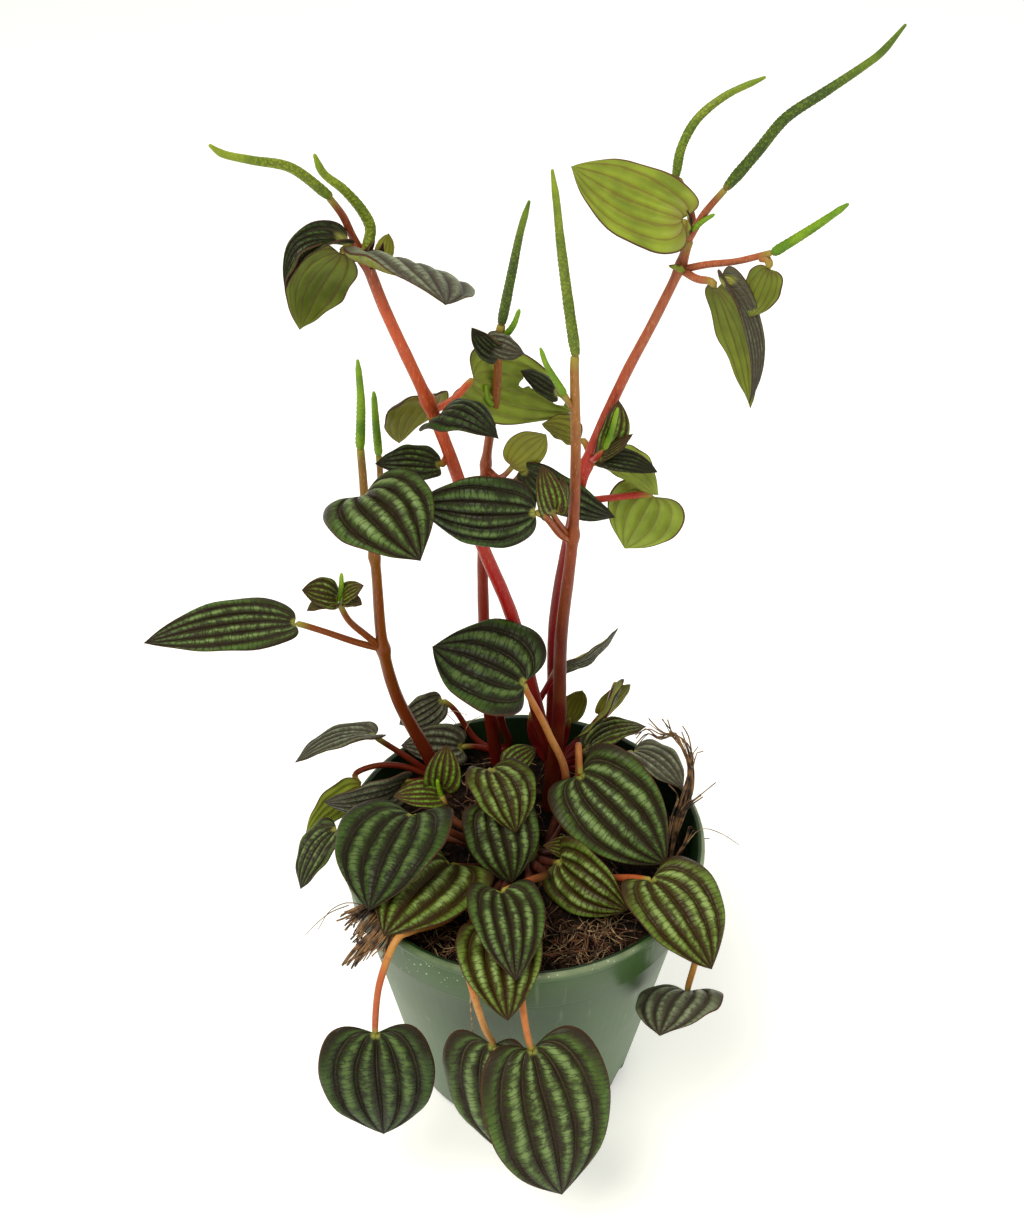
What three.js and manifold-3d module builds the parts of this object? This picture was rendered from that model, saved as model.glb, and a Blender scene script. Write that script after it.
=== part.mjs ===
// Potted peperomia: a striped-leaf house plant in flower, in a four-inch nursery pot.
// Millimetres, +Z up. The origin is the middle of the pot's flat underside.
// The plant's show side is -Y: leaves turn their faces to LIGHT.

import * as THREE from 'three';
import { mergeVertices } from 'three/addons/utils/BufferGeometryUtils.js';
import Module from 'manifold-3d';

const wasm = await Module();
wasm.setup();

// Pot
const POT_HEIGHT = 90;
const RIM_RADIUS = 51;
const BAND_BOTTOM = 74.5;
const BASE_RADIUS = 34;
const WALL = 1.4;
const FLOOR = 1.8;
const POT_SIDES = 32;
const DRAIN_HOLES = 6;
const DRAIN_RADIUS = 3.6;

// Soil
const SOIL_TOP = 80.5;
const SOIL_RIPPLE = 0.9;

// Plant
const GAP = 0.35;
const BLADE_THICKNESS = 1.1;
const VEIN_RELIEF = 0.5;
const STALK_RADIUS = 1.25;
const STALK_SIDES = 4;
const LIGHT = new THREE.Vector3(0, -0.8, 0.6);

const rad = THREE.MathUtils.degToRad;
const lerp = THREE.MathUtils.lerp;

function material(color, roughness) {
  return new THREE.MeshStandardMaterial({ color, roughness, metalness: 0 });
}

const POT_GREEN = material('#5a7a66', 0.5);
const SOIL_BLACK = material('#2a211b', 0.95);
const COIR_BROWN = material('#6b4a32', 0.9);
const LEAF_GREEN = material('#4d6440', 0.42);
const LEAF_UNDER = material('#8a9c4e', 0.5);
const STEM_RED = material('#a8453f', 0.4);
const STEM_MAROON = material('#6e2c2a', 0.4);
const STALK_ORANGE = material('#b9713f', 0.45);
const SPIKE_GREEN = material('#6f9a2e', 0.55);

// Solids are closed meshes whose shared corners are merged, so that they can be joined and cut.
function solidOf(geometry) {
  const shell = geometry.clone();
  shell.deleteAttribute('normal');
  shell.deleteAttribute('uv');
  const merged = mergeVertices(shell, 1e-4);
  return new wasm.Manifold(new wasm.Mesh({
    numProp: 3,
    vertProperties: new Float32Array(merged.attributes.position.array),
    triVerts: new Uint32Array(merged.index.array),
  }));
}

function geometryOf(solid) {
  const mesh = solid.getMesh();
  const geometry = new THREE.BufferGeometry();
  geometry.setAttribute('position', new THREE.BufferAttribute(new Float32Array(mesh.vertProperties), 3));
  geometry.setIndex(new THREE.BufferAttribute(new Uint32Array(mesh.triVerts), 1));
  geometry.computeVertexNormals();
  return geometry;
}

function join(solids) {
  return solids.reduce((whole, next) => whole.add(next));
}

// A round, closed rod bent along a curve through the given points. radiusAt(t, angle, ring)
// gives its radius from t = 0 at the root to t = 1 at the tip.
function rod(points, radiusAt, sides, steps) {
  const path = new THREE.CatmullRomCurve3(points.map((p) => new THREE.Vector3(...p)));
  const frames = path.computeFrenetFrames(steps);
  const geometry = new THREE.CylinderGeometry(1, 1, 1, sides, steps);
  const corner = geometry.attributes.position;
  for (let i = 0; i < corner.count; i++) {
    const t = 0.5 + corner.getY(i);
    const ring = Math.round(t * steps);
    const across = corner.getX(i);
    const along = corner.getZ(i);
    const radius = radiusAt(t, Math.atan2(across, along), ring);
    const place = path.getPointAt(t);
    place.addScaledVector(frames.normals[ring], across * radius);
    place.addScaledVector(frames.binormals[ring], -along * radius);
    corner.setXYZ(i, place.x, place.y, place.z);
  }
  return solidOf(geometry);
}

// A stem or leaf stalk that tapers evenly.
function stalk(points, root, tip, sides = STALK_SIDES, steps = 4) {
  return rod(points, (t) => lerp(root, tip, t), sides, steps);
}

// A flower spike: a rod crowded with tiny florets, which show as bumps on its lower two thirds,
// with a smooth, tapering green end.
function spike(points, root, tip, steps = 10) {
  const sides = 6;
  const radiusAt = (t, angle, ring) => {
    const bump = 0.09 * Math.cos((sides / 2) * angle + Math.PI * ring) * Math.max(0, 1 - 1.4 * t);
    const end = t > 0.97 ? 0.55 : 1;
    return lerp(root, tip, t) * (1 + bump) * end;
  };
  return rod(points, radiusAt, sides, steps);
}

// The swollen joint of a stem, where leaf stalks and side shoots leave it.
function knuckle([x, y, z], radius) {
  const ball = new THREE.SphereGeometry(radius, 6, 3);
  ball.scale(1, 1, 0.75);
  ball.translate(x, y, z);
  return solidOf(ball);
}

// A leaf blade: a thin, closed shell from its stalk at base to its point at tip. Five veins run
// from base to tip and lie low between raised panels. roll turns it about the line from base to
// tip, where 0 faces LIGHT and 180 shows the underside. cup lifts the margins, arch lifts the
// middle of its length, both as a share of its size, and lobe is how far the base is heart-shaped.
function blade({ base, tip, width, roll = 0, cup = 0.1, arch = 0.1, lobe = 0.22, across = 6, along = 5 }) {
  const start = new THREE.Vector3(...base);
  const run = new THREE.Vector3(...tip).sub(start);
  const length = run.length();
  const forward = run.clone().normalize();
  const face = LIGHT.clone().projectOnPlane(forward).normalize().applyAxisAngle(forward, rad(roll));
  const side = new THREE.Vector3().crossVectors(forward, face);
  const place = new THREE.Matrix4().makeBasis(side, forward, face).setPosition(start);

  // a sphere's poles become the base and the tip, its upper half the face and its lower half
  // the underside
  const shell = new THREE.SphereGeometry(1, 2 * across, along);
  const corner = shell.attributes.position;
  for (let i = 0; i < corner.count; i++) {
    const v = Math.acos(THREE.MathUtils.clamp(corner.getY(i), -1, 1)) / Math.PI;
    const turn = Math.atan2(corner.getZ(i), -corner.getX(i));
    const u = 1 - (2 * Math.abs(turn)) / Math.PI;
    const upper = turn >= 0 ? 1 : -1;
    const s = v ** 1.45;
    const end = Math.max(0, Math.sin(Math.PI * v));
    const half = 1.245 * width * s ** 0.5 * (1 - s) ** 0.9;
    const x = u * half;
    const heart = lobe * length * Math.abs(u) ** 1.6 * 4.8 * s ** 0.6 * (1 - s) ** 3;
    const panel = VEIN_RELIEF * Math.sin((across / 4) * Math.PI * u) ** 2 * end ** 0.5;
    const flesh = (upper * BLADE_THICKNESS * Math.sqrt(Math.max(0, 1 - u * u)) * end ** 0.5) / 2;
    const bow = arch * length * 4 * s * (1 - s) + (cup * 2 * x * x) / width;
    const spot = new THREE.Vector3(x, length * s - heart, flesh + panel + bow).applyMatrix4(place);
    corner.setXYZ(i, spot.x, spot.y, spot.z);
  }

  // both faces are split along the same diagonals, so that they never cross
  const index = [];
  const row = 2 * across + 1;
  for (let j = 0; j < along; j++) {
    for (let i = 0; i < 2 * across; i++) {
      const a = j * row + i + 1;
      const b = j * row + i;
      const c = b + row;
      const d = a + row;
      const under = i >= across;
      if (j > 0) index.push(a, b, under ? c : d);
      if (j < along - 1) index.push(under ? a : b, c, d);
    }
  }
  shell.setIndex(index);
  return solidOf(shell);
}

const plant = new THREE.Group();

function addPiece(name, solid, finish) {
  const mesh = new THREE.Mesh(geometryOf(solid), finish);
  mesh.name = name;
  plant.add(mesh);
}

// Pot: one moulded shell, turned about its axis. The foot is chamfered, the wall flares to a
// stepped rim band, and drain holes cut through the corner of the base.
function makePot() {
  const wallTop = RIM_RADIUS - 3.9;
  const profile = [
    [0, 0],
    [BASE_RADIUS - 2.5, 0],
    [BASE_RADIUS, 2],
    [wallTop, BAND_BOTTOM - 2],
    [wallTop + 0.9, BAND_BOTTOM],
    [RIM_RADIUS - 1.9, BAND_BOTTOM + 1],
    [RIM_RADIUS - 0.9, POT_HEIGHT - 3],
    [RIM_RADIUS, POT_HEIGHT - 2.2],
    [RIM_RADIUS, POT_HEIGHT - 0.6],
    [RIM_RADIUS - 0.7, POT_HEIGHT],
    [RIM_RADIUS - 2.1, POT_HEIGHT],
    [RIM_RADIUS - 3.4, BAND_BOTTOM + 2],
    [wallTop - WALL, BAND_BOTTOM - 1],
    [BASE_RADIUS - WALL, FLOOR + 1],
    [BASE_RADIUS - WALL - 1.2, FLOOR],
    [0, FLOOR],
  ];
  const shell = new THREE.LatheGeometry(profile.map(([r, z]) => new THREE.Vector2(r, z)), POT_SIDES);
  shell.rotateX(Math.PI / 2);
  let pot = solidOf(shell);
  for (let i = 0; i < DRAIN_HOLES; i++) {
    const turn = (2 * Math.PI * (i + 0.5)) / DRAIN_HOLES;
    const drill = new THREE.CylinderGeometry(DRAIN_RADIUS, DRAIN_RADIUS, 12, 8);
    drill.rotateZ(Math.PI / 4);
    drill.translate(BASE_RADIUS - 1, 0, 1);
    drill.rotateZ(turn);
    pot = pot.subtract(solidOf(drill));
  }
  return pot;
}

// Soil: a plug that fills the pot up to SOIL_TOP, rippled on top, clear of the wall by GAP.
function makeSoil() {
  const inner = (z) => lerp(BASE_RADIUS, RIM_RADIUS - 3.9, (z - 2) / (BAND_BOTTOM - 4)) - WALL - GAP - 0.4;
  const profile = [
    [0, FLOOR + GAP],
    [inner(4) - 1.5, FLOOR + GAP],
    [inner(4), 4],
    [inner(BAND_BOTTOM - 2), BAND_BOTTOM - 2],
    [RIM_RADIUS - 4.2, SOIL_TOP - 0.6],
    [32, SOIL_TOP],
    [16, SOIL_TOP],
    [0, SOIL_TOP],
  ];
  const plug = new THREE.LatheGeometry(profile.map(([r, z]) => new THREE.Vector2(r, z)), 24);
  plug.rotateX(Math.PI / 2);
  const corner = plug.attributes.position;
  for (let i = 0; i < corner.count; i++) {
    const x = corner.getX(i);
    const y = corner.getY(i);
    const z = corner.getZ(i);
    if (z < SOIL_TOP - 1) continue;
    const ripple = Math.sin(0.31 * x + 1) * Math.cos(0.27 * y) + 0.5 * Math.sin(0.7 * y - 0.4 * x);
    corner.setZ(i, z + SOIL_RIPPLE * ripple * 0.6);
  }
  return solidOf(plug);
}

// Coir tufts: stiff fibres that fan out of one root. The left one hangs over the rim in a coarse
// bundle; the right one stands up along the rim and frays. Each root sits in a hole in the soil.
const TUFTS = [
  { name: 'coir_tuft_left', root: [-36, -23, 81.5], fibres: [
    [[-38, -25, 91], [-44, -29, 93], [-52, -32, 86.5], [-54, -34, 80]],
    [[-37.6, -25.6, 91], [-42, -31, 93], [-49, -37, 88.6], [-53, -38, 82]],
    [[-38, -24, 91], [-45, -27, 93], [-53, -28, 89.6], [-57, -28, 86]],
    [[-38, -23, 91], [-46, -25, 93.4], [-52, -25, 93], [-55, -26, 93]],
    [[-37, -26, 90.6], [-40.6, -33, 93], [-47, -39, 89.6], [-50, -42, 84]],
  ] },
  { name: 'coir_tuft_right', root: [41, -6, 81.5], fibres: [
    [[43, -2, 86], [45, 6, 91], [48, 13, 99], [47, 17, 107], [43, 20, 113]],
    [[43, -1, 86], [46, 8, 90], [49, 16, 98], [49, 20, 106], [48, 22, 112]],
    [[43, 0, 85], [46, 8, 89], [50, 18, 96], [52, 22, 101], [53, 23, 107]],
    [[44, -3, 86], [48, 2, 92], [51, 8, 94], [55, 12, 95]],
    [[43, -3, 86], [47, 3, 94], [50, 10, 101], [52, 14, 108]],
  ] },
];

// What the leaves grow from. stem is the main path, from its foot in the soil to its end, with
// its radius at each end; parts are its joints, side branches and small young leaves. The crown
// is the rootstock in the middle, from which most of the mound's stalks rise.
const GROWERS = {
  crown: {
    finish: STALK_ORANGE,
    stem: [[[0, -3, 68], [0, -2, 78], [-1, -1.6, 87]], 6.5, 7.6, 8, 2],
    parts: [
      stalk([[-4, -2, 86], [-15, 0, 91], [-20, 2, 94], [-23, 6, 99.5]], 1.6, 0.9),
      blade({ base: [-23, 8, 100], tip: [-21, 10, 114], width: 9.5, roll: 5, cup: 0.3, across: 4, along: 5 }),
      blade({ base: [-23, 6, 98], tip: [-36, 2, 102], width: 9, roll: 30, cup: 0.2, across: 4, along: 5 }),
      spike([[-22, 5, 97], [-23.4, 6, 101], [-23.8, 6.4, 104.5]], 0.95, 0.6, 4),
      stalk([[4, -3, 85], [12, -3, 86], [15, -4, 87.5]], 1.3, 0.8, STALK_SIDES, 3),
      blade({ base: [15, -4, 87], tip: [5.5, -8, 93], width: 7, roll: 20, across: 4, along: 4 }),
      stalk([[-3, 3, 85], [-5, 14, 92], [-4.2, 18, 98]], 1.3, 0.8),
      blade({ base: [-4, 18, 98], tip: [4, 22, 102], width: 9, roll: -30, across: 4, along: 4 }),
    ],
  },
  stem_a: {
    finish: STEM_RED,
    stem: [[[12, 28, 66], [11.5, 27, 80], [5, 24, 111], [-3, 20, 151], [-11, 16, 178], [-20, 10, 214],
      [-31, 4, 248], [-34, 2, 259], [-36, 1, 264]], 2.4, 1.35, 6, 12],
    parts: [
      stalk([[-34.5, 1.5, 261], [-36.5, 0.5, 266], [-38, -1, 271], [-40.5, -4, 276.6]], 1, 0.8),
      knuckle([-23, 8.5, 222], 2),
      knuckle([-34.5, 1.6, 261], 2),
      blade({ base: [-34, 2.5, 262], tip: [-27, 9, 265], width: 5, roll: 20, across: 4, along: 4 }),
    ],
  },
  stem_b: {
    finish: STEM_MAROON,
    stem: [[[-24.5, 28, 66], [-25, 28, 84], [-27, 27, 93], [-35, 24, 118], [-38, 21, 139], [-38, 15, 173],
      [-39, 12, 188], [-39, 10, 203], [-39, 9, 210]], 2.5, 1.0, 6, 11],
    parts: [
      stalk([[-38, 15, 175], [-36.5, 16, 186], [-35.5, 16.5, 196], [-35.5, 16, 204]], 1.1, 0.8),
      knuckle([-38, 21, 139], 2.5),
      knuckle([-38, 15, 174], 2.1),
      stalk([[-38, 21, 139], [-42, 18, 146], [-46, 15.5, 153], [-48, 14, 160]], 1.1, 0.9),
      blade({ base: [-48.5, 13.5, 159.5], tip: [-58, 8, 167], width: 10, roll: 15, across: 4, along: 5 }),
      blade({ base: [-48, 15, 159.5], tip: [-48, 22, 167], width: 9, roll: -20, across: 4, along: 5 }),
      blade({ base: [-47, 13.5, 160], tip: [-40, 9, 168], width: 7, roll: -30, across: 4, along: 4 }),
      spike([[-47.6, 14, 160], [-47, 13.6, 165], [-46.6, 13.4, 170]], 0.9, 0.6, 4),
    ],
  },
  stem_c: {
    finish: STEM_MAROON,
    stem: [[[-8, 40, 66], [-8, 40, 82], [-10, 40, 105], [-11, 40, 136], [-11, 40, 160], [-10, 39, 185],
      [-7, 38, 209], [-6, 37, 225], [-5.5, 37, 228.5]], 2.3, 1.0, 6, 10],
    parts: [
      knuckle([-10, 39, 187], 2.1),
      knuckle([-6, 37, 225], 1.8),
      stalk([[-8, 40, 84], [-4.4, 40.5, 86], [-6, 36, 99], [-7, 30, 113]], 1.5, 1.1),
      blade({ base: [-7, 30, 112.5], tip: [-12, 41, 122], width: 12, roll: 10, across: 4, along: 5 }),
      blade({ base: [-6, 36.5, 225], tip: [-14, 29, 228], width: 11, roll: 40, cup: -0.3, across: 4,
        along: 5 }),
      blade({ base: [-5, 36.5, 225.5], tip: [1, 27, 225], width: 9, roll: -30, cup: -0.2, across: 4,
        along: 5 }),
      blade({ base: [-3, 30, 191], tip: [6, 30, 202], width: 9.5, roll: 245, cup: -0.1, across: 4,
        along: 5 }),
      stalk([[-10, 39, 186], [-7, 37, 184], [-5, 33, 187], [-2.5, 30, 192]], 0.9, 0.75),
      spike([[-5, 36.6, 224.5], [-2.6, 35.4, 228.5], [-1.1, 35, 233]], 0.9, 0.6, 4),
      spike([[-8.6, 38, 205], [-9.4, 36.6, 208], [-9.6, 36, 212]], 0.9, 0.6, 4),
    ],
  },
  stem_d: {
    finish: STEM_MAROON,
    stem: [[[8, 20, 66], [8, 20, 83], [10, 17, 117], [10, 14, 148], [12, 10, 182], [12, 6, 211],
      [11, 2, 234], [11, 2, 238]], 2.5, 1.1, 6, 10],
    parts: [
      knuckle([12, 9.5, 184], 2.3),
      stalk([[11.5, 4, 222], [9.6, 2.4, 226], [8.5, 2, 228.5]], 0.8, 0.7, STALK_SIDES, 3),
      spike([[9, 2.1, 227.5], [6.6, 1.2, 232], [4.6, 0.6, 236], [3.2, 0, 240.5]], 0.95, 0.6, 5),
      stalk([[12, 10, 182], [9.6, 8, 187], [7.6, 5, 192], [5.8, 3.9, 196.5]], 0.9, 0.75),
      blade({ base: [6.4, 4, 196], tip: [4.4, 2, 209], width: 7, roll: 0, cup: 0.3, across: 4, along: 5 }),
    ],
  },
  stem_e: {
    finish: STEM_RED,
    stem: [[[9, 34.5, 66], [9, 34, 82], [9, 34, 114], [9, 33, 140], [12, 32, 167], [16, 30, 192],
      [24, 27, 218], [31, 25, 236], [36, 24, 250], [37, 23.5, 256]], 2.4, 1.4, 6, 12],
    parts: [
      stalk([[36.5, 24, 254], [40, 22.6, 262], [44.5, 21.8, 268.5]], 1.25, 1.0, STALK_SIDES, 3),
      stalk([[36.5, 24, 254], [38.4, 28, 257], [37, 32, 262], [34.6, 32, 267]], 1.0, 0.85),
      stalk([[36, 24, 248], [41, 20, 251], [47, 15, 254], [54, 9, 258.8]], 1.15, 0.9),
      knuckle([16, 30, 192], 2.4),
      knuckle([36, 24, 249], 2.2),
      knuckle([37, 23.6, 256], 1.9),
      blade({ base: [20, 22, 202], tip: [23, 24, 214], width: 9, roll: 30, cup: 0.3, across: 4, along: 5 }),
      stalk([[17, 29, 194], [18, 25, 197], [20.2, 22.2, 203]], 0.9, 0.75),
      spike([[19.6, 21, 202], [21, 19.4, 207], [22.5, 18.8, 215]], 0.95, 0.6, 5),
      blade({ base: [19, 25, 198], tip: [26.6, 20, 207], width: 3.6, roll: 20, across: 4, along: 4 }),
      blade({ base: [37, 23, 257], tip: [39.5, 19.5, 263], width: 3.2, roll: 20, across: 4, along: 4 }),
      stalk([[9, 34, 84], [4.6, 36, 90], [2.6, 34, 98], [3, 31, 108]], 1.5, 1.1),
      stalk([[9, 34, 84], [18, 38.5, 88], [25.2, 39.4, 101], [26.2, 38, 108]], 1.5, 1.0),
      stalk([[9, 34, 84], [15, 38, 88], [20, 41, 92], [24.8, 44, 97]], 1.3, 0.8),
      blade({ base: [24.6, 44, 96], tip: [32, 42, 109], width: 6, roll: 45, across: 4, along: 4 }),
      stalk([[9, 34, 84], [12.6, 38, 90], [14.2, 38, 100]], 1.2, 0.8),
      blade({ base: [14, 38, 99], tip: [18.5, 38, 110], width: 5, roll: 45, across: 4, along: 4 }),
    ],
  },
};

// Large leaves. on names what the leaf grows from, and through is its stalk's route from there
// to the base of the blade.
const LEAVES = [
  // stem A
  { name: 'leaf_a_curled', on: 'stem_a', through: [[-34.5, 1.6, 261], [-37, 0.6, 263.6]],
    base: [-39.4, -1.2, 263], tip: [-48, -8.5, 249], width: 20, roll: 120, cup: -0.3, arch: 0.2, lobe: 0.1 },
  { name: 'leaf_a_top', on: 'stem_a', through: [[-34, 2, 260], [-31.5, -0.4, 262.5], [-30, -1.6, 260.4]],
    base: [-29.6, -2, 259], tip: [-16, -28, 264], width: 28, roll: -65, cup: -0.05, lobe: 0.12 },
  { name: 'leaf_a_low_back', on: 'stem_a', through: [[-22, 9, 219], [-22, 14, 220]],
    base: [-23, 18, 218], tip: [-31, 23, 202.5], width: 17, roll: 115, cup: -0.1, lobe: 0.15 },
  { name: 'leaf_a_low_wavy', on: 'stem_a', through: [[-22, 9, 217], [-21, 7, 218]],
    base: [-20, 5, 218], tip: [-6, -8, 222], width: 13, roll: -40, cup: -0.2, arch: 0.25 },
  { name: 'leaf_a_low_front', on: 'stem_a', through: [[-18, 11, 207], [-19.4, 12.6, 203.4]],
    base: [-20.6, 13, 201.8], tip: [-36, 11.4, 203.6], width: 10, roll: 30, cup: 0, lobe: 0.1 },
  { name: 'leaf_a_eaten', on: 'stem_a', through: [[-22, 9.5, 219], [-17, 14, 219], [-13, 17.5, 222]],
    base: [-12, 18, 223], tip: [12, 29, 208], width: 19, roll: 200, cup: -0.1, across: 8, along: 6 },
  // stem B
  { name: 'leaf_b_front', on: 'stem_b',
    through: [[-38, 15, 176], [-36, 9, 184], [-36, 5, 193], [-37.2, 1.8, 199.8]],
    base: [-38, 1, 201], tip: [-24, -17, 195], width: 26, roll: -20, cup: -0.15, arch: 0.2, across: 8,
    along: 6 },
  { name: 'leaf_b_side', on: 'stem_b',
    through: [[-38, 21, 139], [-45, 19, 143], [-53, 16, 149], [-59, 14, 153]],
    base: [-60, 13.5, 153.5], tip: [-97, 2, 156], width: 15, roll: 25, cup: -0.05, lobe: 0.08, across: 8,
    along: 6 },
  // stem C
  { name: 'leaf_c_narrow', on: 'stem_c', through: [[-10, 39, 184], [-6, 36, 181], [-2, 32, 186]],
    base: [0, 31, 190], tip: [24, 30, 176], width: 11, roll: 30, cup: -0.2, arch: 0.15, lobe: 0.1 },
  // stem D
  { name: 'leaf_d_dark', on: 'stem_d', through: [[12, 10, 182], [9, 7, 186], [5, 2, 194.5]],
    base: [2.4, 0, 197.4], tip: [-26, 5, 196.5], width: 19, roll: -30, cup: -0.12, lobe: 0.08, across: 8,
    along: 6 },
  // stem E
  { name: 'leaf_e_top', on: 'stem_e', through: [[37, 23.5, 255], [36, 22.6, 259]],
    base: [35, 22, 261], tip: [10, 22, 273], width: 19, roll: 190, cup: -0.1, across: 8, along: 6 },
  { name: 'leaf_e_end', on: 'stem_e', through: [[51, 11.6, 256.4], [53, 10, 256.6]],
    base: [53.6, 9.2, 254.6], tip: [50, 7.6, 244], width: 9, roll: 200, cup: -0.3, lobe: 0.1 },
  { name: 'leaf_e_hanging', on: 'stem_e', through: [[36, 24, 248], [39, 19, 248], [42, 15, 249]],
    base: [43, 14, 248], tip: [52, 6, 222], width: 13, roll: 245, cup: -0.35, lobe: 0.12 },
  { name: 'leaf_e_folded', on: 'stem_e', through: [[16.5, 29.5, 192.5], [19, 28.4, 194]],
    base: [20.6, 27.6, 194.6], tip: [34, 22, 188], width: 13, roll: 50, cup: -0.4, lobe: 0.08 },
  { name: 'leaf_e_pale', on: 'stem_e', through: [[17, 29.6, 195], [15.6, 31.6, 197.5]],
    base: [14.4, 32.5, 198.4], tip: [4.6, 35, 201], width: 10, roll: 130, lobe: 0.05 },
  { name: 'leaf_e_round', on: 'stem_e', through: [[14, 31, 180], [25, 32, 181], [33, 32.4, 181.4]],
    base: [34, 32, 181], tip: [27, 30, 166], width: 21, roll: 180, cup: -0.12 },
  // the mound at the back and left
  { name: 'leaf_high', on: 'crown', through: [[7, 0, 85], [12, 7, 104], [7, 8, 120], [1, 4, 138]],
    base: [0, 2.6, 142.2], tip: [-24, 11.4, 147.4], width: 30, roll: 35, cup: 0.12, arch: 0.05, across: 8,
    along: 6 },
  { name: 'leaf_back_narrow', on: 'stem_e', through: [[3, 31, 108], [9.2, 29.6, 124]],
    base: [9.6, 29.4, 126], tip: [27, 38, 133], width: 10, roll: 70, lobe: 0.1 },
  { name: 'leaf_back_left', on: 'stem_c', through: [[-8, 40, 84], [-13, 40, 86], [-17.6, 38.4, 87.6]],
    base: [-18.6, 37.6, 88], tip: [-36, 33.4, 92.6], width: 13, roll: 20 },
  { name: 'leaf_back_curled', on: 'stem_c', through: [[-8, 40, 84], [-14, 42, 87.5], [-20.6, 44.4, 97.6]],
    base: [-24, 44.6, 101], tip: [-37, 42, 93.4], width: 11, roll: -20, lobe: 0.1 },
  { name: 'leaf_left_edge_on', on: 'stem_b', through: [[-25, 28, 84], [-33, 28, 92], [-42, 28, 100]],
    base: [-43, 28, 101], tip: [-65, 18, 100], width: 16, roll: 70 },
  { name: 'leaf_left_upper', on: 'stem_b', through: [[-25, 28, 84], [-29, 20, 91], [-33.5, 14.5, 95.5]],
    base: [-34, 14, 96], tip: [-56, 6, 96], width: 15, roll: -45 },
  { name: 'leaf_left_under', on: 'stem_b',
    through: [[-25, 28, 84], [-35, 26, 91], [-43, 23, 94], [-48.5, 19.8, 93.5]],
    base: [-50, 19, 92.6], tip: [-64, 7, 84], width: 13, roll: -90 },
  // the mound at the left and in the middle
  { name: 'leaf_left_lower', on: 'crown',
    through: [[-6, -2, 85], [-26, 0, 89], [-42, -1, 93.4], [-50, -2.4, 94.8]],
    base: [-51.6, -3, 94], tip: [-61, -16, 84.4], width: 15, roll: 50 },
  { name: 'leaf_left_large', on: 'crown', through: [[-5, -4, 85], [-18, -6, 95], [-27, -7.4, 102.4]],
    base: [-30, -8, 104.6], tip: [-40, -35, 97], width: 34, roll: 35, cup: 0.12, across: 8, along: 6 },
  { name: 'leaf_left_front', on: 'crown', through: [[-5, -6, 85], [-12, -10, 87], [-19, -12.6, 90]],
    base: [-20, -13, 91], tip: [-36, -41, 94], width: 31, roll: 30, cup: 0.1, arch: 0.1, across: 8,
    along: 6 },
  { name: 'leaf_middle_top', on: 'crown', through: [[-3, 2, 86], [-7, 8, 97], [-9.2, 9, 104.6]],
    base: [-9, 7.2, 107], tip: [-2, -8, 98], width: 21, roll: -35 },
  { name: 'leaf_middle', on: 'crown', through: [[-3, 1, 86], [-8, 3, 94], [-8.5, 2, 98]],
    base: [-8.5, 0, 99.6], tip: [-3, -14.4, 85], width: 22, roll: -20 },
  { name: 'leaf_middle_low', on: 'crown',
    through: [[3, -7, 85], [6, -15, 89], [2, -23, 95.5], [-4, -28.5, 98]],
    base: [-6, -30, 98.4], tip: [-2, -57, 96], width: 20, roll: -15 },
  { name: 'leaf_middle_rim', on: 'crown', through: [[-2, -5, 84], [-7, -22, 85], [-8, -34, 90]],
    base: [-7, -39, 93.4], tip: [-4, -63, 88], width: 22, roll: -5, arch: 0.14 },
  // the mound at the right
  { name: 'leaf_right_large', on: 'crown',
    through: [[7, -1, 85], [15, 8, 98], [15.5, 13, 111], [15.5, 10, 112]],
    base: [16, 6, 106], tip: [39, -13, 91], width: 28, roll: -8, cup: 0.12, across: 8, along: 6 },
  { name: 'leaf_right_under', on: 'crown', through: [[4, -5, 84.6], [9.4, -9.6, 87.8]],
    base: [10.4, -10.8, 89.8], tip: [28, -27, 88], width: 19, roll: 15 },
  { name: 'leaf_right_front', on: 'crown', through: [[5, -6, 84], [18, -13, 86], [30, -20, 93]],
    base: [34, -24, 96.4], tip: [48.4, -46, 87], width: 26, roll: -30, cup: 0.12, arch: 0.12, across: 8,
    along: 6 },
  { name: 'leaf_right_back', on: 'stem_e', through: [[9, 34, 84], [15, 30, 89], [18.5, 27.4, 96]],
    base: [19, 27, 97], tip: [36, 30, 103], width: 18, roll: -70 },
  { name: 'leaf_right_behind', on: 'stem_e', through: [[9, 34, 84], [22, 28, 88], [31, 23, 99]],
    base: [32, 22, 100], tip: [45, 8, 99], width: 17, roll: -55 },
  { name: 'leaf_right_edge_on', on: 'stem_e', through: [[26, 38.4, 106], [26.8, 35.6, 113.6]],
    base: [27, 34, 116], tip: [15, 26, 101.6], width: 10, roll: -85 },
  // the four that hang over the rim
  { name: 'leaf_hanging_left', on: 'crown',
    through: [[-3, -5, 84], [-20, -26, 84], [-29, -37, 91.4], [-32.4, -41, 93.2],
    [-37, -47.4, 84], [-39, -50, 68]],
    base: [-39, -50, 66], tip: [-38, -58, 33], width: 31, roll: 0, cup: 0.12, arch: 0.05, across: 8,
    along: 6 },
  { name: 'leaf_hanging_middle', on: 'crown',
    through: [[-1, -5, 84], [-13, -26, 84], [-16, -40, 87.6], [-15, -48, 92.8],
    [-13.4, -54, 91.4], [-10, -56, 76], [-8, -53.6, 67]],
    base: [-8, -53, 65], tip: [0, -61, 23], width: 30, roll: 30, arch: 0.05, across: 8, along: 6 },
  { name: 'leaf_hanging_large', on: 'crown',
    through: [[1, -5, 84], [3, -24, 83.6], [2, -40, 85.6], [0.4, -49, 92.6],
    [-0.6, -55, 90.8], [0.2, -60, 84], [1.6, -61.4, 76]],
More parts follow.
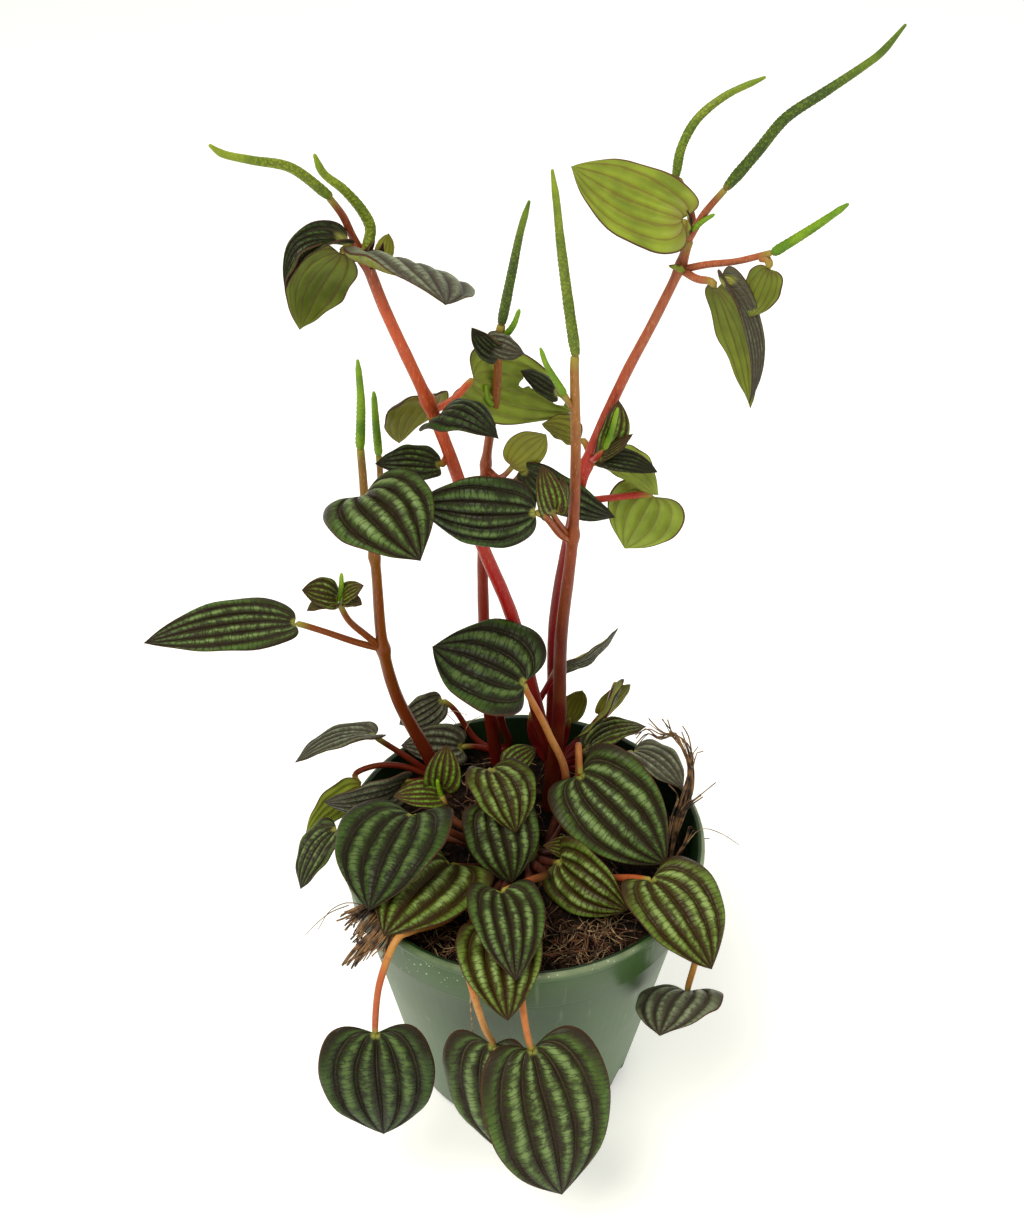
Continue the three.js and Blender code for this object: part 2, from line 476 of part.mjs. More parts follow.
    base: [2, -61, 74], tip: [10, -78, 36], width: 34, roll: -15, cup: 0.12, arch: 0.08, across: 8,
    along: 6 },
  { name: 'leaf_hanging_right', on: 'crown',
    through: [[4, -4, 84], [24, -17, 84], [36, -24, 88.6], [42, -28, 93],
    [47, -31.6, 88], [46.4, -33.4, 76], [45, -34, 65]],
    base: [45, -34, 63], tip: [36, -50, 65], width: 25, roll: 60, cup: -0.1 },
];

for (const leaf of LEAVES) {
  const route = [...leaf.through, leaf.base];
  const steps = route.length > 6 ? 2 * route.length : route.length;
  const root = STALK_RADIUS * (leaf.on === 'crown' ? 1.1 : 0.85);
  const end = STALK_RADIUS * 0.72;
  GROWERS[leaf.on].parts.push(stalk(route, root, end, STALK_SIDES, steps));
  const clear = stalk(route, root + GAP, end + GAP, STALK_SIDES, steps);
  const seat = new THREE.OctahedronGeometry(end + 3 * GAP, 0);
  seat.translate(...leaf.base);
  const finish = leaf.roll > 90 || leaf.roll < -85 ? LEAF_UNDER : LEAF_GREEN;
  addPiece(leaf.name, blade(leaf).subtract(clear).subtract(solidOf(seat)), finish);
}

// Flower spikes, each standing on the end of its red stalk.
const SPIKES = [
  { name: 'spike_a_short', root: 1.35, tip: 0.9, route: [[-32.6, 4.2, 265.8], [-34, 4, 269], [-38, 3.4, 275],
    [-42, 2.6, 279], [-43.5, 2.6, 283]] },
  { name: 'spike_a_long', root: 1.3, tip: 0.8, route: [[-40.8, -4.3, 277.2], [-47, -8, 284], [-54, -12, 287],
    [-59, -14, 289], [-61, -16, 291.5]] },
  { name: 'spike_b_tall', root: 1.3, tip: 0.8, route: [[-39, 9, 210.6], [-38, 8, 223], [-38, 7, 234]] },
  { name: 'spike_b_side', root: 1.15, tip: 0.8,
    route: [[-35.5, 16, 204.6], [-35.6, 15, 213], [-35.5, 14, 222]] },
  { name: 'spike_c', root: 1.35, tip: 0.85,
    route: [[-5.4, 37, 229.1], [-3, 36, 242], [-1, 34, 253], [1, 33, 261]] },
  { name: 'spike_d', root: 1.4, tip: 0.8, route: [[11, 2, 238.6], [9, 0, 252], [7, -3, 267], [6, -5, 276],
    [5, -6, 283]] },
  { name: 'spike_e_long', root: 1.4, tip: 0.8, steps: 22,
    route: [[44.8, 21.6, 269.1], [50, 20, 277], [55, 18, 285],
    [62, 16, 291], [69, 14, 297], [72, 13, 300], [76, 12, 306]] },
  { name: 'spike_e_short', root: 1.2, tip: 0.8, route: [[34.2, 32, 268], [35, 33, 273], [38, 34, 279],
    [44, 35, 284], [53, 36, 288]] },
  { name: 'spike_e_side', root: 1.2, tip: 0.8, route: [[54.6, 8.6, 259.4], [61, 5, 266], [67, 1, 273]] },
];
for (const { name, route, root, tip, steps } of SPIKES) {
  addPiece(name, spike(route, root, tip, steps), SPIKE_GREEN);
}

// The crown, the stems and the tufts stand in holes in the soil that fit them.
let soil = makeSoil();
for (const [name, { finish, stem, parts }] of Object.entries(GROWERS)) {
  const [path, root, tip, sides, steps] = stem;
  addPiece(name, join([stalk(path, root, tip, sides, steps), ...parts]), finish);
  const below = [[path[0][0], path[0][1], path[0][2] - GAP], ...path.slice(1)];
  soil = soil.subtract(stalk(below, root + GAP, tip + GAP, sides, steps));
}
for (const { name, root, fibres } of TUFTS) {
  const knot = new THREE.SphereGeometry(2.2, 7, 5);
  knot.translate(...root);
  const hole = new THREE.SphereGeometry(2.2 + GAP + 0.1, 7, 5);
  hole.translate(...root);
  const strands = fibres.map((f) => stalk([root, ...f], 0.9, 0.34, 4, 4));
  addPiece(name, join([solidOf(knot), ...strands]), COIR_BROWN);
  soil = soil.subtract(solidOf(hole));
}
addPiece('soil', soil, SOIL_BLACK);
addPiece('pot', makePot(), POT_GREEN);

export default plant;
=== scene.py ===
import math
import random

import bpy
from mathutils import Matrix, Quaternion, Vector, noise
from mathutils.geometry import interpolate_bezier


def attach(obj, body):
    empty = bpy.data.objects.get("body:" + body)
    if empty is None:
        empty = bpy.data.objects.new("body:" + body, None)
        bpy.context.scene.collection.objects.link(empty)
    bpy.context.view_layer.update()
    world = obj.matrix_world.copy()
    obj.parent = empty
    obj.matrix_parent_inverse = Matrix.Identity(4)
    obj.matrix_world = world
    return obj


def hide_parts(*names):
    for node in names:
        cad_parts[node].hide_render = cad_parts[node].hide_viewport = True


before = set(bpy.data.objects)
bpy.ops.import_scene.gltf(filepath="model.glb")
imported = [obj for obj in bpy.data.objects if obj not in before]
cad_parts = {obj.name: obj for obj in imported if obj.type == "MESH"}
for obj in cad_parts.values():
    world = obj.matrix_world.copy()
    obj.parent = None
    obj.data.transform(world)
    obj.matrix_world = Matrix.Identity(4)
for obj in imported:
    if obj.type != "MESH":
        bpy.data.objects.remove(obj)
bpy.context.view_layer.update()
bpy.ops.object.select_all(action="DESELECT")

MM = 0.001


# The camera stands in front of the plant and looks down on it, at the photograph's angle, so that
# the leaves of the mound show their faces and the soil shows behind the front rim.
bpy.ops.object.camera_add(
    location=(-3 * MM, -299 * MM, 393 * MM),
    rotation=(math.radians(90 - 37.1), 0, 0),
)
camera = bpy.context.object
camera.data.sensor_width = 36
camera.data.lens = 44
bpy.context.scene.camera = camera


# The pot is a four-inch nursery pot of green polypropylene, injection moulded in one piece: a
# chamfered foot, a thin wall that flares to a stepped rim band, a rolled lip, and drain holes cut
# through the corner of the base. The moulded skin is satin, and it scuffs pale where it is handled.
POT_SIDES = 96
POT_HEIGHT = 90
RIM_RADIUS = 51
BAND_BOTTOM = 74.5
BASE_RADIUS = 34
POT_WALL = 1.4
POT_FLOOR = 1.8
WALL_TOP = RIM_RADIUS - 3.9
DRAIN_HOLES = 6
DRAIN_RADIUS = 3.6
POT_PROFILE = [
    (BASE_RADIUS - 2.5, 0),
    (BASE_RADIUS - 0.8, 0.5),
    (BASE_RADIUS, 2),
    (WALL_TOP - 0.3, BAND_BOTTOM - 3),
    (WALL_TOP + 0.3, BAND_BOTTOM - 2.2),
    (WALL_TOP + 0.5, BAND_BOTTOM - 0.4),
    (RIM_RADIUS - 2.2, BAND_BOTTOM + 0.4),
    (RIM_RADIUS - 1.8, BAND_BOTTOM + 1.2),
    (RIM_RADIUS - 1.0, POT_HEIGHT - 3.4),
    (RIM_RADIUS - 0.2, POT_HEIGHT - 2.6),
    (RIM_RADIUS, POT_HEIGHT - 1.9),
    (RIM_RADIUS, POT_HEIGHT - 0.9),
    (RIM_RADIUS - 0.4, POT_HEIGHT - 0.2),
    (RIM_RADIUS - 1.1, POT_HEIGHT),
    (RIM_RADIUS - 1.9, POT_HEIGHT - 0.2),
    (RIM_RADIUS - 2.3, POT_HEIGHT - 1.2),
    (RIM_RADIUS - 3.4, BAND_BOTTOM + 2),
    (WALL_TOP - POT_WALL, BAND_BOTTOM - 1),
    (BASE_RADIUS - POT_WALL, POT_FLOOR + 1.4),
    (BASE_RADIUS - POT_WALL - 1.6, POT_FLOOR),
    (2, POT_FLOOR),
]


def linear(colour):
    """A colour given as sRGB hex, turned to the linear values that the shaders take."""
    channels = [int(colour[i:i + 2], 16) / 255 for i in (1, 3, 5)]
    return [c / 12.92 if c <= 0.04045 else ((c + 0.055) / 1.055) ** 2.4 for c in channels] + [1]


def add(material, kind, inputs=None, **settings):
    """Adds a shader node. inputs maps each socket to a value, or to the output that feeds it."""
    node = material.node_tree.nodes.new("ShaderNode" + kind)
    for name, value in settings.items():
        setattr(node, name, value)
    for socket, value in (inputs or {}).items():
        if isinstance(value, bpy.types.NodeSocket):
            material.node_tree.links.new(value, node.inputs[socket])
        else:
            node.inputs[socket].default_value = value
    return node


def new_material(name):
    """An empty material with its output node."""
    material = bpy.data.materials.new(name)
    material.use_nodes = True
    material.node_tree.nodes.clear()
    add(material, "OutputMaterial")
    return material


def surface(material, **inputs):
    """Ends a material: one Principled shader with these values or links, on the output."""
    names = {key.replace("_", " "): value for key, value in inputs.items()}
    shader = add(material, "BsdfPrincipled", names)
    output = material.node_tree.nodes["Material Output"]
    material.node_tree.links.new(shader.outputs[0], output.inputs[0])
    return material


def blend(material, share, low, high):
    """Mixes two colours, hex or linked, by a share from 0 to 1."""
    low = linear(low) if isinstance(low, str) else low
    high = linear(high) if isinstance(high, str) else high
    node = add(material, "Mix", {0: share, 6: low, 7: high}, data_type="RGBA")
    return node.outputs[2]


def between(material, value, low, high):
    """A share that runs smoothly from 0 where the value is low to 1 where it is high."""
    node = add(material, "MapRange", {0: value, 1: low, 2: high}, interpolation_type="SMOOTHSTEP")
    return node.outputs[0]


def sum_of(material, value, factor, offset):
    """value times factor plus offset, each a number or linked."""
    return add(material, "Math", {0: value, 1: factor, 2: offset}, operation="MULTIPLY_ADD").outputs[0]


def multiply(material, first, second):
    """The product of two numbers, each plain or linked."""
    return add(material, "Math", {0: first, 1: second}, operation="MULTIPLY").outputs[0]


def moulded_green_polypropylene():
    """Satin green plastic, dulled by handling and weather outside, with pale dusty scuffs along the lip
    and down the wall. The outer wall is lighter towards the foot, painted light from the pale floor.
    The inner face is painted near-black green: partly the clean plastic's deeper green, partly
    painted shade of the deep, leaf-covered inside."""
    pot = new_material("moulded_green_polypropylene")
    place = add(pot, "TexCoord").outputs["Object"]
    height = add(pot, "SeparateXYZ", {0: place}).outputs[2]
    cloud = add(pot, "TexNoise", {"Vector": place, "Scale": 45, "Detail": 6}).outputs[0]
    grain = add(pot, "TexNoise", {"Vector": place, "Scale": 1400, "Detail": 3}).outputs[0]
    drawn = add(pot, "Mapping", {0: place, 3: (1, 1, 0.06)}).outputs[0]
    streak = add(pot, "TexNoise", {"Vector": drawn, "Scale": 420, "Detail": 4}).outputs[0]
    speck = add(pot, "TexVoronoi", {"Vector": place, "Scale": 620, "Randomness": 1}).outputs[0]

    wall = blend(pot, between(pot, cloud, 0.35, 0.68), "#365129", "#3f5c32")
    # painted light: the wall is lightened towards the foot, where the pale floor lights it from below
    wall = blend(pot, multiply(pot, between(pot, height, 74 * MM, 6 * MM), 0.3), wall, "#5f7550")
    wall = blend(pot, multiply(pot, between(pot, streak, 0.62, 0.78), 0.3), wall, "#93a188")
    worn = multiply(pot, between(pot, height, 87.8 * MM, 89.8 * MM), between(pot, cloud, 0.38, 0.62))
    wall = blend(pot, multiply(pot, worn, 0.45), wall, "#a3a98c")
    dust = multiply(pot, between(pot, speck, 0.2, 0.1), between(pot, cloud, 0.5, 0.64))
    dust = multiply(pot, dust, between(pot, height, 62 * MM, 88 * MM))
    wall = blend(pot, dust, wall, "#d8dccf")

    # the outer face is told from the inner by its distance from the wall's middle line. The inner face is
    # painted near-black green: partly the clean plastic's deeper colour, partly painted shade of the
    # deep, leaf-covered inside of the pot.
    round_axis = add(pot, "VectorMath", {0: place, 1: (1, 1, 0)}, operation="MULTIPLY").outputs[0]
    radius = add(pot, "VectorMath", {0: round_axis}, operation="LENGTH").outputs[1]
    flare = (WALL_TOP - BASE_RADIUS) / (BAND_BOTTOM - 4)
    beyond = sum_of(pot, height, -flare, radius)
    face = (BASE_RADIUS - 2 * flare) * MM
    outside = between(pot, beyond, face - 0.5 * MM, face - 0.2 * MM)
    wall = blend(pot, outside, "#12260f", wall)

    bump = add(pot, "Bump", {"Height": grain, "Strength": 0.12, "Distance": 0.1 * MM}).outputs[0]
    gloss = sum_of(pot, cloud, 0.22, 0.3)
    return surface(pot, Base_Color=wall, Roughness=gloss, Normal=bump, IOR=1.49, Specular_IOR_Level=0.28)


def select_only(piece):
    """Makes one piece the active one, with nothing else selected."""
    bpy.ops.object.select_all(action="DESELECT")
    piece.select_set(True)
    bpy.context.view_layer.objects.active = piece


def settle(piece, material, slot, *nodes):
    """Gives a finished piece its material, and lets it ride with the pot in place of CAD nodes."""
    if material is not None:
        piece.data.materials.clear()
        piece.data.materials.append(material)
    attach(piece, "root")
    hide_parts(*nodes)
    return piece


def draw_up(profile):
    """Draws the active disc up, ring by ring, through a profile of radii and heights in mm."""
    radius, height = profile[0]
    bpy.ops.object.mode_set(mode="EDIT")
    bpy.ops.mesh.select_all(action="SELECT")
    for next_radius, next_height in profile[1:]:
        lift = (0, 0, (next_height - height) * MM)
        bpy.ops.mesh.extrude_region_move(TRANSFORM_OT_translate={"value": lift})
        share = next_radius / radius
        bpy.ops.transform.resize(value=(share, share, 1), center_override=(0, 0, 0))
        radius, height = next_radius, next_height
    bpy.ops.mesh.select_all(action="SELECT")
    bpy.ops.mesh.normals_make_consistent(inside=False)
    bpy.ops.object.mode_set(mode="OBJECT")


def make_pot():
    """The pot, drawn up from a disc, with its drain holes cut at the corner of the base."""
    bpy.ops.mesh.primitive_circle_add(
        vertices=POT_SIDES, radius=POT_PROFILE[0][0] * MM, fill_type="TRIFAN")
    pot = bpy.context.object
    pot.name = "nursery_pot"
    draw_up(POT_PROFILE)
    for i in range(DRAIN_HOLES):
        turn = 2 * math.pi * (i + 0.5) / DRAIN_HOLES
        reach = (BASE_RADIUS - 1) * MM
        bpy.ops.mesh.primitive_cylinder_add(
            vertices=24, radius=DRAIN_RADIUS * MM, depth=12 * MM,
            location=(reach * math.cos(turn), reach * math.sin(turn), 1 * MM),
            rotation=(0, math.radians(45), turn),
        )
        drill = bpy.context.object
        select_only(pot)
        cut = pot.modifiers.new("drain", "BOOLEAN")
        cut.operation = "DIFFERENCE"
        cut.solver = "EXACT"
        cut.object = drill
        bpy.ops.object.modifier_apply(modifier=cut.name)
        bpy.data.objects.remove(drill)
    bpy.ops.object.shade_smooth_by_angle(angle=math.radians(35))
    return settle(pot, moulded_green_polypropylene(), "pot_plastic", "pot")


make_pot()


# The stems, stalks and spikes are rods that grew along smooth lines. Each is drawn here as a sheet
# that is rolled up round its line, closed at both ends, with its width worked out ring by ring.
def smooth_line(points, count):
    """Evenly spaced places, in metres, on a smooth line through points given in millimetres."""
    knots = [Vector(p) * MM for p in points]
    knots = [2 * knots[0] - knots[1]] + knots + [2 * knots[-1] - knots[-2]]
    line = []
    for before, start, end, after in zip(knots, knots[1:], knots[2:], knots[3:]):
        a, b, c = ((q - p).length ** 0.5 for p, q in ((before, start), (start, end), (end, after)))
        leave = ((start - before) / a - (end - before) / (a + b) + (end - start) / b) * b
        arrive = ((end - start) / b - (after - start) / (b + c) + (after - end) / c) * b
        line += interpolate_bezier(start, start + leave / 3, end - arrive / 3, end, 20)[:-1]
    line.append(knots[-2])
    reach = [0]
    for p, q in zip(line, line[1:]):
        reach.append(reach[-1] + (q - p).length)
    places, at = [], 0
    for i in range(count):
        wanted = reach[-1] * i / (count - 1)
        while at < len(line) - 2 and reach[at + 1] < wanted:
            at += 1
        share = (wanted - reach[at]) / max(reach[at + 1] - reach[at], 1e-9)
        places.append(line[at].lerp(line[at + 1], share))
    return places, reach[-1]


def rod(points, radius_at, sides=12, ring_gap=1.0):
    """A closed round rod. radius_at(t, angle, place) gives its radius in mm, t from root to tip. An
    attribute keeps how far each place is from its root and from its tip, in mm."""
    rings = max(6, round(smooth_line(points, 4)[1] / MM / ring_gap))
    line, length = smooth_line(points, rings + 1)
    bpy.ops.mesh.primitive_grid_add(x_subdivisions=sides, y_subdivisions=rings, size=2)
    piece = bpy.context.object
    ways = [(q - p).normalized() for p, q in zip(line, line[1:])]
    ways = [ways[0]] + [(p + q).normalized() for p, q in zip(ways, ways[1:])] + [ways[-1]]
    across = ways[0].orthogonal().normalized()
    frames = []
    for before, way in zip([ways[0]] + ways, ways):
        across = before.rotation_difference(way) @ across
        frames.append((across, way.cross(across)))
    ends = piece.data.attributes.new("ends", "FLOAT_VECTOR", "POINT")
    for corner in piece.data.vertices:
        ring = round((corner.co.y + 1) / 2 * rings)
        angle = math.pi * corner.co.x
        t = ring / rings
        ends.data[corner.index].vector = (t * length / MM, (1 - t) * length / MM, 0)
        radius = radius_at(t, angle, line[ring]) * MM
        end = min(t, 1 - t) * length
        if end < radius:
            radius *= math.sqrt(max(0, 1 - (1 - end / radius) ** 2))
        first, second = frames[ring]
        corner.co = line[ring] + radius * (math.cos(angle) * first + math.sin(angle) * second)
    bpy.ops.object.mode_set(mode="EDIT")
    bpy.ops.mesh.select_all(action="SELECT")
    bpy.ops.mesh.remove_doubles(threshold=0.002 * MM)
    bpy.ops.mesh.normals_make_consistent(inside=False)
    bpy.ops.object.mode_set(mode="OBJECT")
    bpy.ops.object.shade_smooth()
    return piece


def joined(pieces, name):
    """Several pieces made into one, under one name."""
    bpy.ops.object.select_all(action="DESELECT")
    for piece in pieces:
        piece.select_set(True)
    bpy.context.view_layer.objects.active = pieces[0]
    if len(pieces) > 1:
        bpy.ops.object.join()
    pieces[0].name = name
    return pieces[0]


# The leaf blades are thick and quilted. Seven main veins run in curves from the stalk to the point
# of the leaf and lie sunk between raised panels, and a finer net of veins crosses each panel. The
# margin is thin and a little wavy. Each blade is a flat sheet that is bent to its outline, given
# its quilting and curl, and then its thickness. An attribute keeps each place's lane among the
# veins, its share of the length and the half width in mm there, and a map the flat size in mm.
LIGHT = Vector((0, -0.8, 0.6))
BLADE_THICKNESS = 0.9
STALK_RADIUS = 1.25
MARGIN_WAVES = 3.0
SMALL_SHEET = (28, 26)
LARGE_SHEET = (42, 36)
CHEWED_SHEET = (98, 90)


def blade(skins, base, tip, width, roll=0, cup=0.1, arch=0.1, lobe=0.22, full=1.5, sweep=0,
          quilt=1.4, wave=0.4, holes=(), seed=0):
    """A leaf blade from its stalk at base to its point at tip, as wide as given, in millimetres,
    with its upper and under skin. roll turns it about that line: 0 faces the light, 180 shows
    the underside. lobe is how far the base is heart-shaped, a large full value makes a round end,
    and sweep bows the midrib sideways."""
    across, along = LARGE_SHEET if width > 18 else SMALL_SHEET
    if holes:
        across, along = CHEWED_SHEET
    base = Vector(base)
    run = Vector(tip) - base
    length = run.length
    forward = run.normalized()
    face = (LIGHT - LIGHT.dot(forward) * forward).normalized()
    face = Quaternion(forward, math.radians(roll)) @ face
    side = forward.cross(face)
    widest = (0.5 / (full + 0.5)) ** (1 / full)
    fullest = widest ** 0.5 * (1 - widest ** full)
    curl = 4 * cup / width or 1e-6
    bpy.ops.mesh.primitive_grid_add(x_subdivisions=across, y_subdivisions=along, size=2)
    piece = bpy.context.object
    mesh = piece.data
    mesh.uv_layers[0].name = "flat"
    thin = piece.vertex_groups.new(name="thin")
    for skin in skins:
        mesh.materials.append(skin)
    places, ways, eaten = {}, {}, []
    for corner in mesh.vertices:
        u = corner.co.x
        v = (corner.co.y + 1) / 2
        s = v ** 1.45
        end = max(0, math.sin(math.pi * v)) ** 0.5
        half = width / 2 * s ** 0.5 * (1 - s ** full) / fullest
        x = u * half
        reach = lobe * length
        y = length * s - reach * abs(u) ** 1.6 * 4.8 * s ** 0.6 * (1 - s) ** 3
        stray = noise.noise(Vector((1.5 * u, 2.5 * s, 3.1 * seed)))
        lane = 3 * u * (1 - 0.25 * s ** 1.5) + 0.12 * stray
        places[corner.index] = (x, y)
        ways[corner.index] = (lane, s, half)
        for hx, hy, rx, ry in holes:
            chewed = 0.45 * noise.noise(Vector((x / 2.4, y / 2.4, seed)))
            if math.hypot((x - hx) / rx, (y - hy) / ry) + chewed < 1:
                eaten.append(corner.index)
        panel = quilt * min(1.2, half / 10) * abs(math.sin(math.pi * lane)) ** 0.75 * (1 - 0.6 * u ** 6)
        shift = 2.1 * seed + (1 if u > 0 else 2.4)
        crimp = wave * abs(u) ** 4 * math.sin(2 * math.pi * MARGIN_WAVES * s + shift)
        dimple = 0.14 * noise.noise(Vector((x / 2.2, y / 2.2, 7.3 * seed)))
        z = arch * length * 4 * s * (1 - s) + (1 - math.cos(curl * x)) / curl
        x = math.sin(curl * x) / curl + sweep * length * 4 * s * (1 - s)
        z += end * (panel + dimple + crimp)
        corner.co = (base + x * side + y * forward + z * face) * MM
        thin.add([corner.index], (1 - 0.65 * abs(u) ** 3) * (0.35 + 0.65 * end), "REPLACE")
    flat = mesh.uv_layers["flat"]
    for loop in mesh.loops:
        flat.data[loop.index].uv = places[loop.vertex_index]
    way = mesh.attributes.new("way", "FLOAT_VECTOR", "POINT")
    for i, place in ways.items():
        way.data[i].vector = place
    if eaten:
        bpy.ops.object.mode_set(mode="EDIT")
        bpy.ops.mesh.select_mode(type="VERT")
        bpy.ops.mesh.select_all(action="DESELECT")
        bpy.ops.object.mode_set(mode="OBJECT")
        for i in eaten:
            mesh.vertices[i].select = True
        bpy.ops.object.mode_set(mode="EDIT")
        bpy.ops.mesh.delete(type="VERT")
        bpy.ops.object.mode_set(mode="OBJECT")
    thicken = piece.modifiers.new("thicken", "SOLIDIFY")
    thicken.thickness = BLADE_THICKNESS * MM
    thicken.offset = 0
    thicken.vertex_group = thin.name
    thicken.material_offset = 1
    bpy.ops.object.modifier_apply(modifier=thicken.name)
    bpy.ops.object.mode_set(mode="EDIT")
    bpy.ops.mesh.select_all(action="SELECT")
    bpy.ops.mesh.remove_doubles(threshold=0.01 * MM)
    bpy.ops.object.mode_set(mode="OBJECT")
    bpy.ops.object.shade_smooth()
    return piece


def leaf_place(material):
    """Where a place lies on its leaf: how far from the nearest main vein, as a share of the gap
    between two, its lane among the veins, its share of the way out to the margin and along to the
    tip, the half width there in mm, and its place on the flattened leaf in mm."""
    way = add(material, "Attribute", attribute_name="way").outputs["Vector"]
    flat = add(material, "UVMap", uv_map="flat").outputs[0]
    lane, along, half = add(material, "SeparateXYZ", {0: way}).outputs
    gap = add(material, "Math", {0: lane, 1: 0.5}, operation="PINGPONG").outputs[0]
    across, length = add(material, "SeparateXYZ", {0: flat}).outputs[:2]
    out = add(material, "Math", {0: across, 1: half}, operation="DIVIDE").outputs[0]
    out = add(material, "Math", {0: out}, operation="ABSOLUTE").outputs[0]
    return gap, lane, out, along, half, flat, length


def leaf_upper_skin(name, stripe, shade, deep, bright, silver_and_sheen, silver_and_sheen_share):
    """Waxy upper skin with a satin sheen: purple-brown stripes on the main veins, which feather out
    along short cross veins into green panels, and a thin red-brown margin. The panels' pale middles
    are partly the leaf's own silver and partly painted highlight where the panels bulge."""
    leaf = new_material(name)
    gap, lane, out, along, half, flat, length = leaf_place(leaf)
    aside = add(leaf, "Math", {0: lane}, operation="ABSOLUTE").outputs[0]
    patchy = add(leaf, "TexNoise", {"Vector": flat, "Scale": 0.22, "Detail": 4, "Roughness": 0.6}).outputs[0]
    fine = add(leaf, "TexNoise", {"Vector": flat, "Scale": 1.1, "Detail": 4, "Roughness": 0.6})

    # cross veins, 1.4 mm apart, that slant from each stripe into the panels; they are drawn twice
    # as wide as the real ones, so that they show
    slant = sum_of(leaf, aside, -0.5, sum_of(leaf, length, 0.72, 0))
    cells = add(leaf, "CombineXYZ", {0: multiply(leaf, lane, 0.8), 1: slant}).outputs[0]
    shaken = {0: fine.outputs[1], 1: (0.7, 0.7, 0), 2: cells}
    cells = add(leaf, "VectorMath", shaken, operation="MULTIPLY_ADD").outputs[0]
    net = add(leaf, "TexVoronoi", {"Vector": cells, "Scale": 1, "Randomness": 0.9}, voronoi_dimensions="2D",
              feature="DISTANCE_TO_EDGE").outputs[0]
    net = between(leaf, net, 0.13, 0.0)

    # a stripe keeps its width in millimetres where the veins crowd, and the midrib's is the widest
    crowding = add(leaf, "Math", {0: 0.3, 1: sum_of(leaf, half, 1 / 3, 0.45)}, operation="DIVIDE").outputs[0]
    away = add(leaf, "Math", {0: gap, 1: crowding}, operation="SUBTRACT").outputs[0]
    away = sum_of(leaf, between(leaf, aside, 0.7, 0.25), -0.07, away)
    away = sum_of(leaf, fine.outputs[0], 0.16, sum_of(leaf, away, 1, -0.08))
    away = sum_of(leaf, patchy, 0.3, sum_of(leaf, away, 1, -0.15))
    away = sum_of(leaf, net, -0.06, away)
    rib = between(leaf, away, 0.4, 0.02)
    rim = multiply(leaf, between(leaf, out, 0.74, 0.92), between(leaf, along, 0.5, 0.2))
    rib = add(leaf, "Math", {0: rib, 1: rim}, operation="MAXIMUM").outputs[0]
    middle = between(leaf, away, 0.14, 0.4)
    outer = add(leaf, "Math", {0: between(leaf, out, 0.45, 0.9), 1: between(leaf, along, 0.5, 0.9)},
                operation="MAXIMUM").outputs[0]

    green = blend(leaf, between(leaf, patchy, 0.38, 0.62), deep, bright)
    green = blend(leaf, multiply(leaf, outer, 0.6), green, bright)
    # the panels' pale middles are partly the leaf's own silver and partly painted highlight, where the
    # bulging panels catch the light
    inner = sum_of(leaf, outer, -0.75 * silver_and_sheen_share, silver_and_sheen_share)
    pale = multiply(leaf, multiply(leaf, middle, inner), between(leaf, patchy, 0.3, 0.58))
    green = blend(leaf, pale, green, silver_and_sheen)
    lines = multiply(leaf, net, sum_of(leaf, middle, -0.2, 0.7))
    skin = blend(leaf, lines, green, shade)
    skin = blend(leaf, multiply(leaf, rib, 0.93), skin, stripe)

    # the vein itself shows as a fine pale line down the stripe, near the stalk: partly the vein's own
    # paler colour, partly painted sheen along it
    vein_line_and_sheen = between(leaf, multiply(leaf, gap, half), 0.75, 0.25)
    vein_line_and_sheen = multiply(leaf, vein_line_and_sheen, between(leaf, along, 0.5, 0.1))
    skin = blend(leaf, multiply(leaf, vein_line_and_sheen, 0.25), skin, "#6e6b4a")
    skin = blend(leaf, between(leaf, out, 0.965, 0.985), skin, "#4a3020")
    joint = add(leaf, "VectorMath", {0: flat}, operation="LENGTH").outputs[1]
    skin = blend(leaf, between(leaf, joint, 1.7, 0.8), skin, "#87893f")

    relief = sum_of(leaf, net, -0.5, between(leaf, gap, 0.0, 0.2))
    bump = add(leaf, "Bump", {"Height": relief, "Strength": 0.6, "Distance": 0.4 * MM}).outputs[0]
    gloss = sum_of(leaf, fine.outputs[0], 0.16, 0.3)
    return surface(leaf, Base_Color=skin, Roughness=gloss, Normal=bump, IOR=1.42, Specular_IOR_Level=0.22)


def leaf_underside_skin(name, pale, deep, vein):
    """Matt underside: yellow-green, with the main veins raised and tinged brown-red."""
    leaf = new_material(name)
    gap, _, out, along, _, flat, _ = leaf_place(leaf)
    blur = add(leaf, "TexNoise", {"Vector": flat, "Scale": 0.35, "Detail": 4}).outputs[0]
    mottle = add(leaf, "TexNoise", {"Vector": flat, "Scale": 0.12, "Detail": 2}).outputs[0]
    gap = sum_of(leaf, blur, 0.12, sum_of(leaf, gap, 1, -0.06))
    line = between(leaf, gap, 0.07, 0.02)
    halo = between(leaf, gap, 0.3, 0.05)
    skin = blend(leaf, between(leaf, mottle, 0.35, 0.65), pale, deep)
    skin = blend(leaf, multiply(leaf, halo, 0.2), skin, vein)
    skin = blend(leaf, multiply(leaf, line, 0.5), skin, vein)
    skin = blend(leaf, multiply(leaf, between(leaf, along, 0.2, 0.0), 0.5), skin, vein)
    skin = blend(leaf, between(leaf, out, 0.965, 0.985), skin, "#5d4128")
    bump = add(leaf, "Bump", {"Height": line, "Strength": 0.35, "Distance": 0.3 * MM}).outputs[0]
    return surface(leaf, Base_Color=skin, Roughness=0.5, Normal=bump, IOR=1.42, Specular_IOR_Level=0.3)


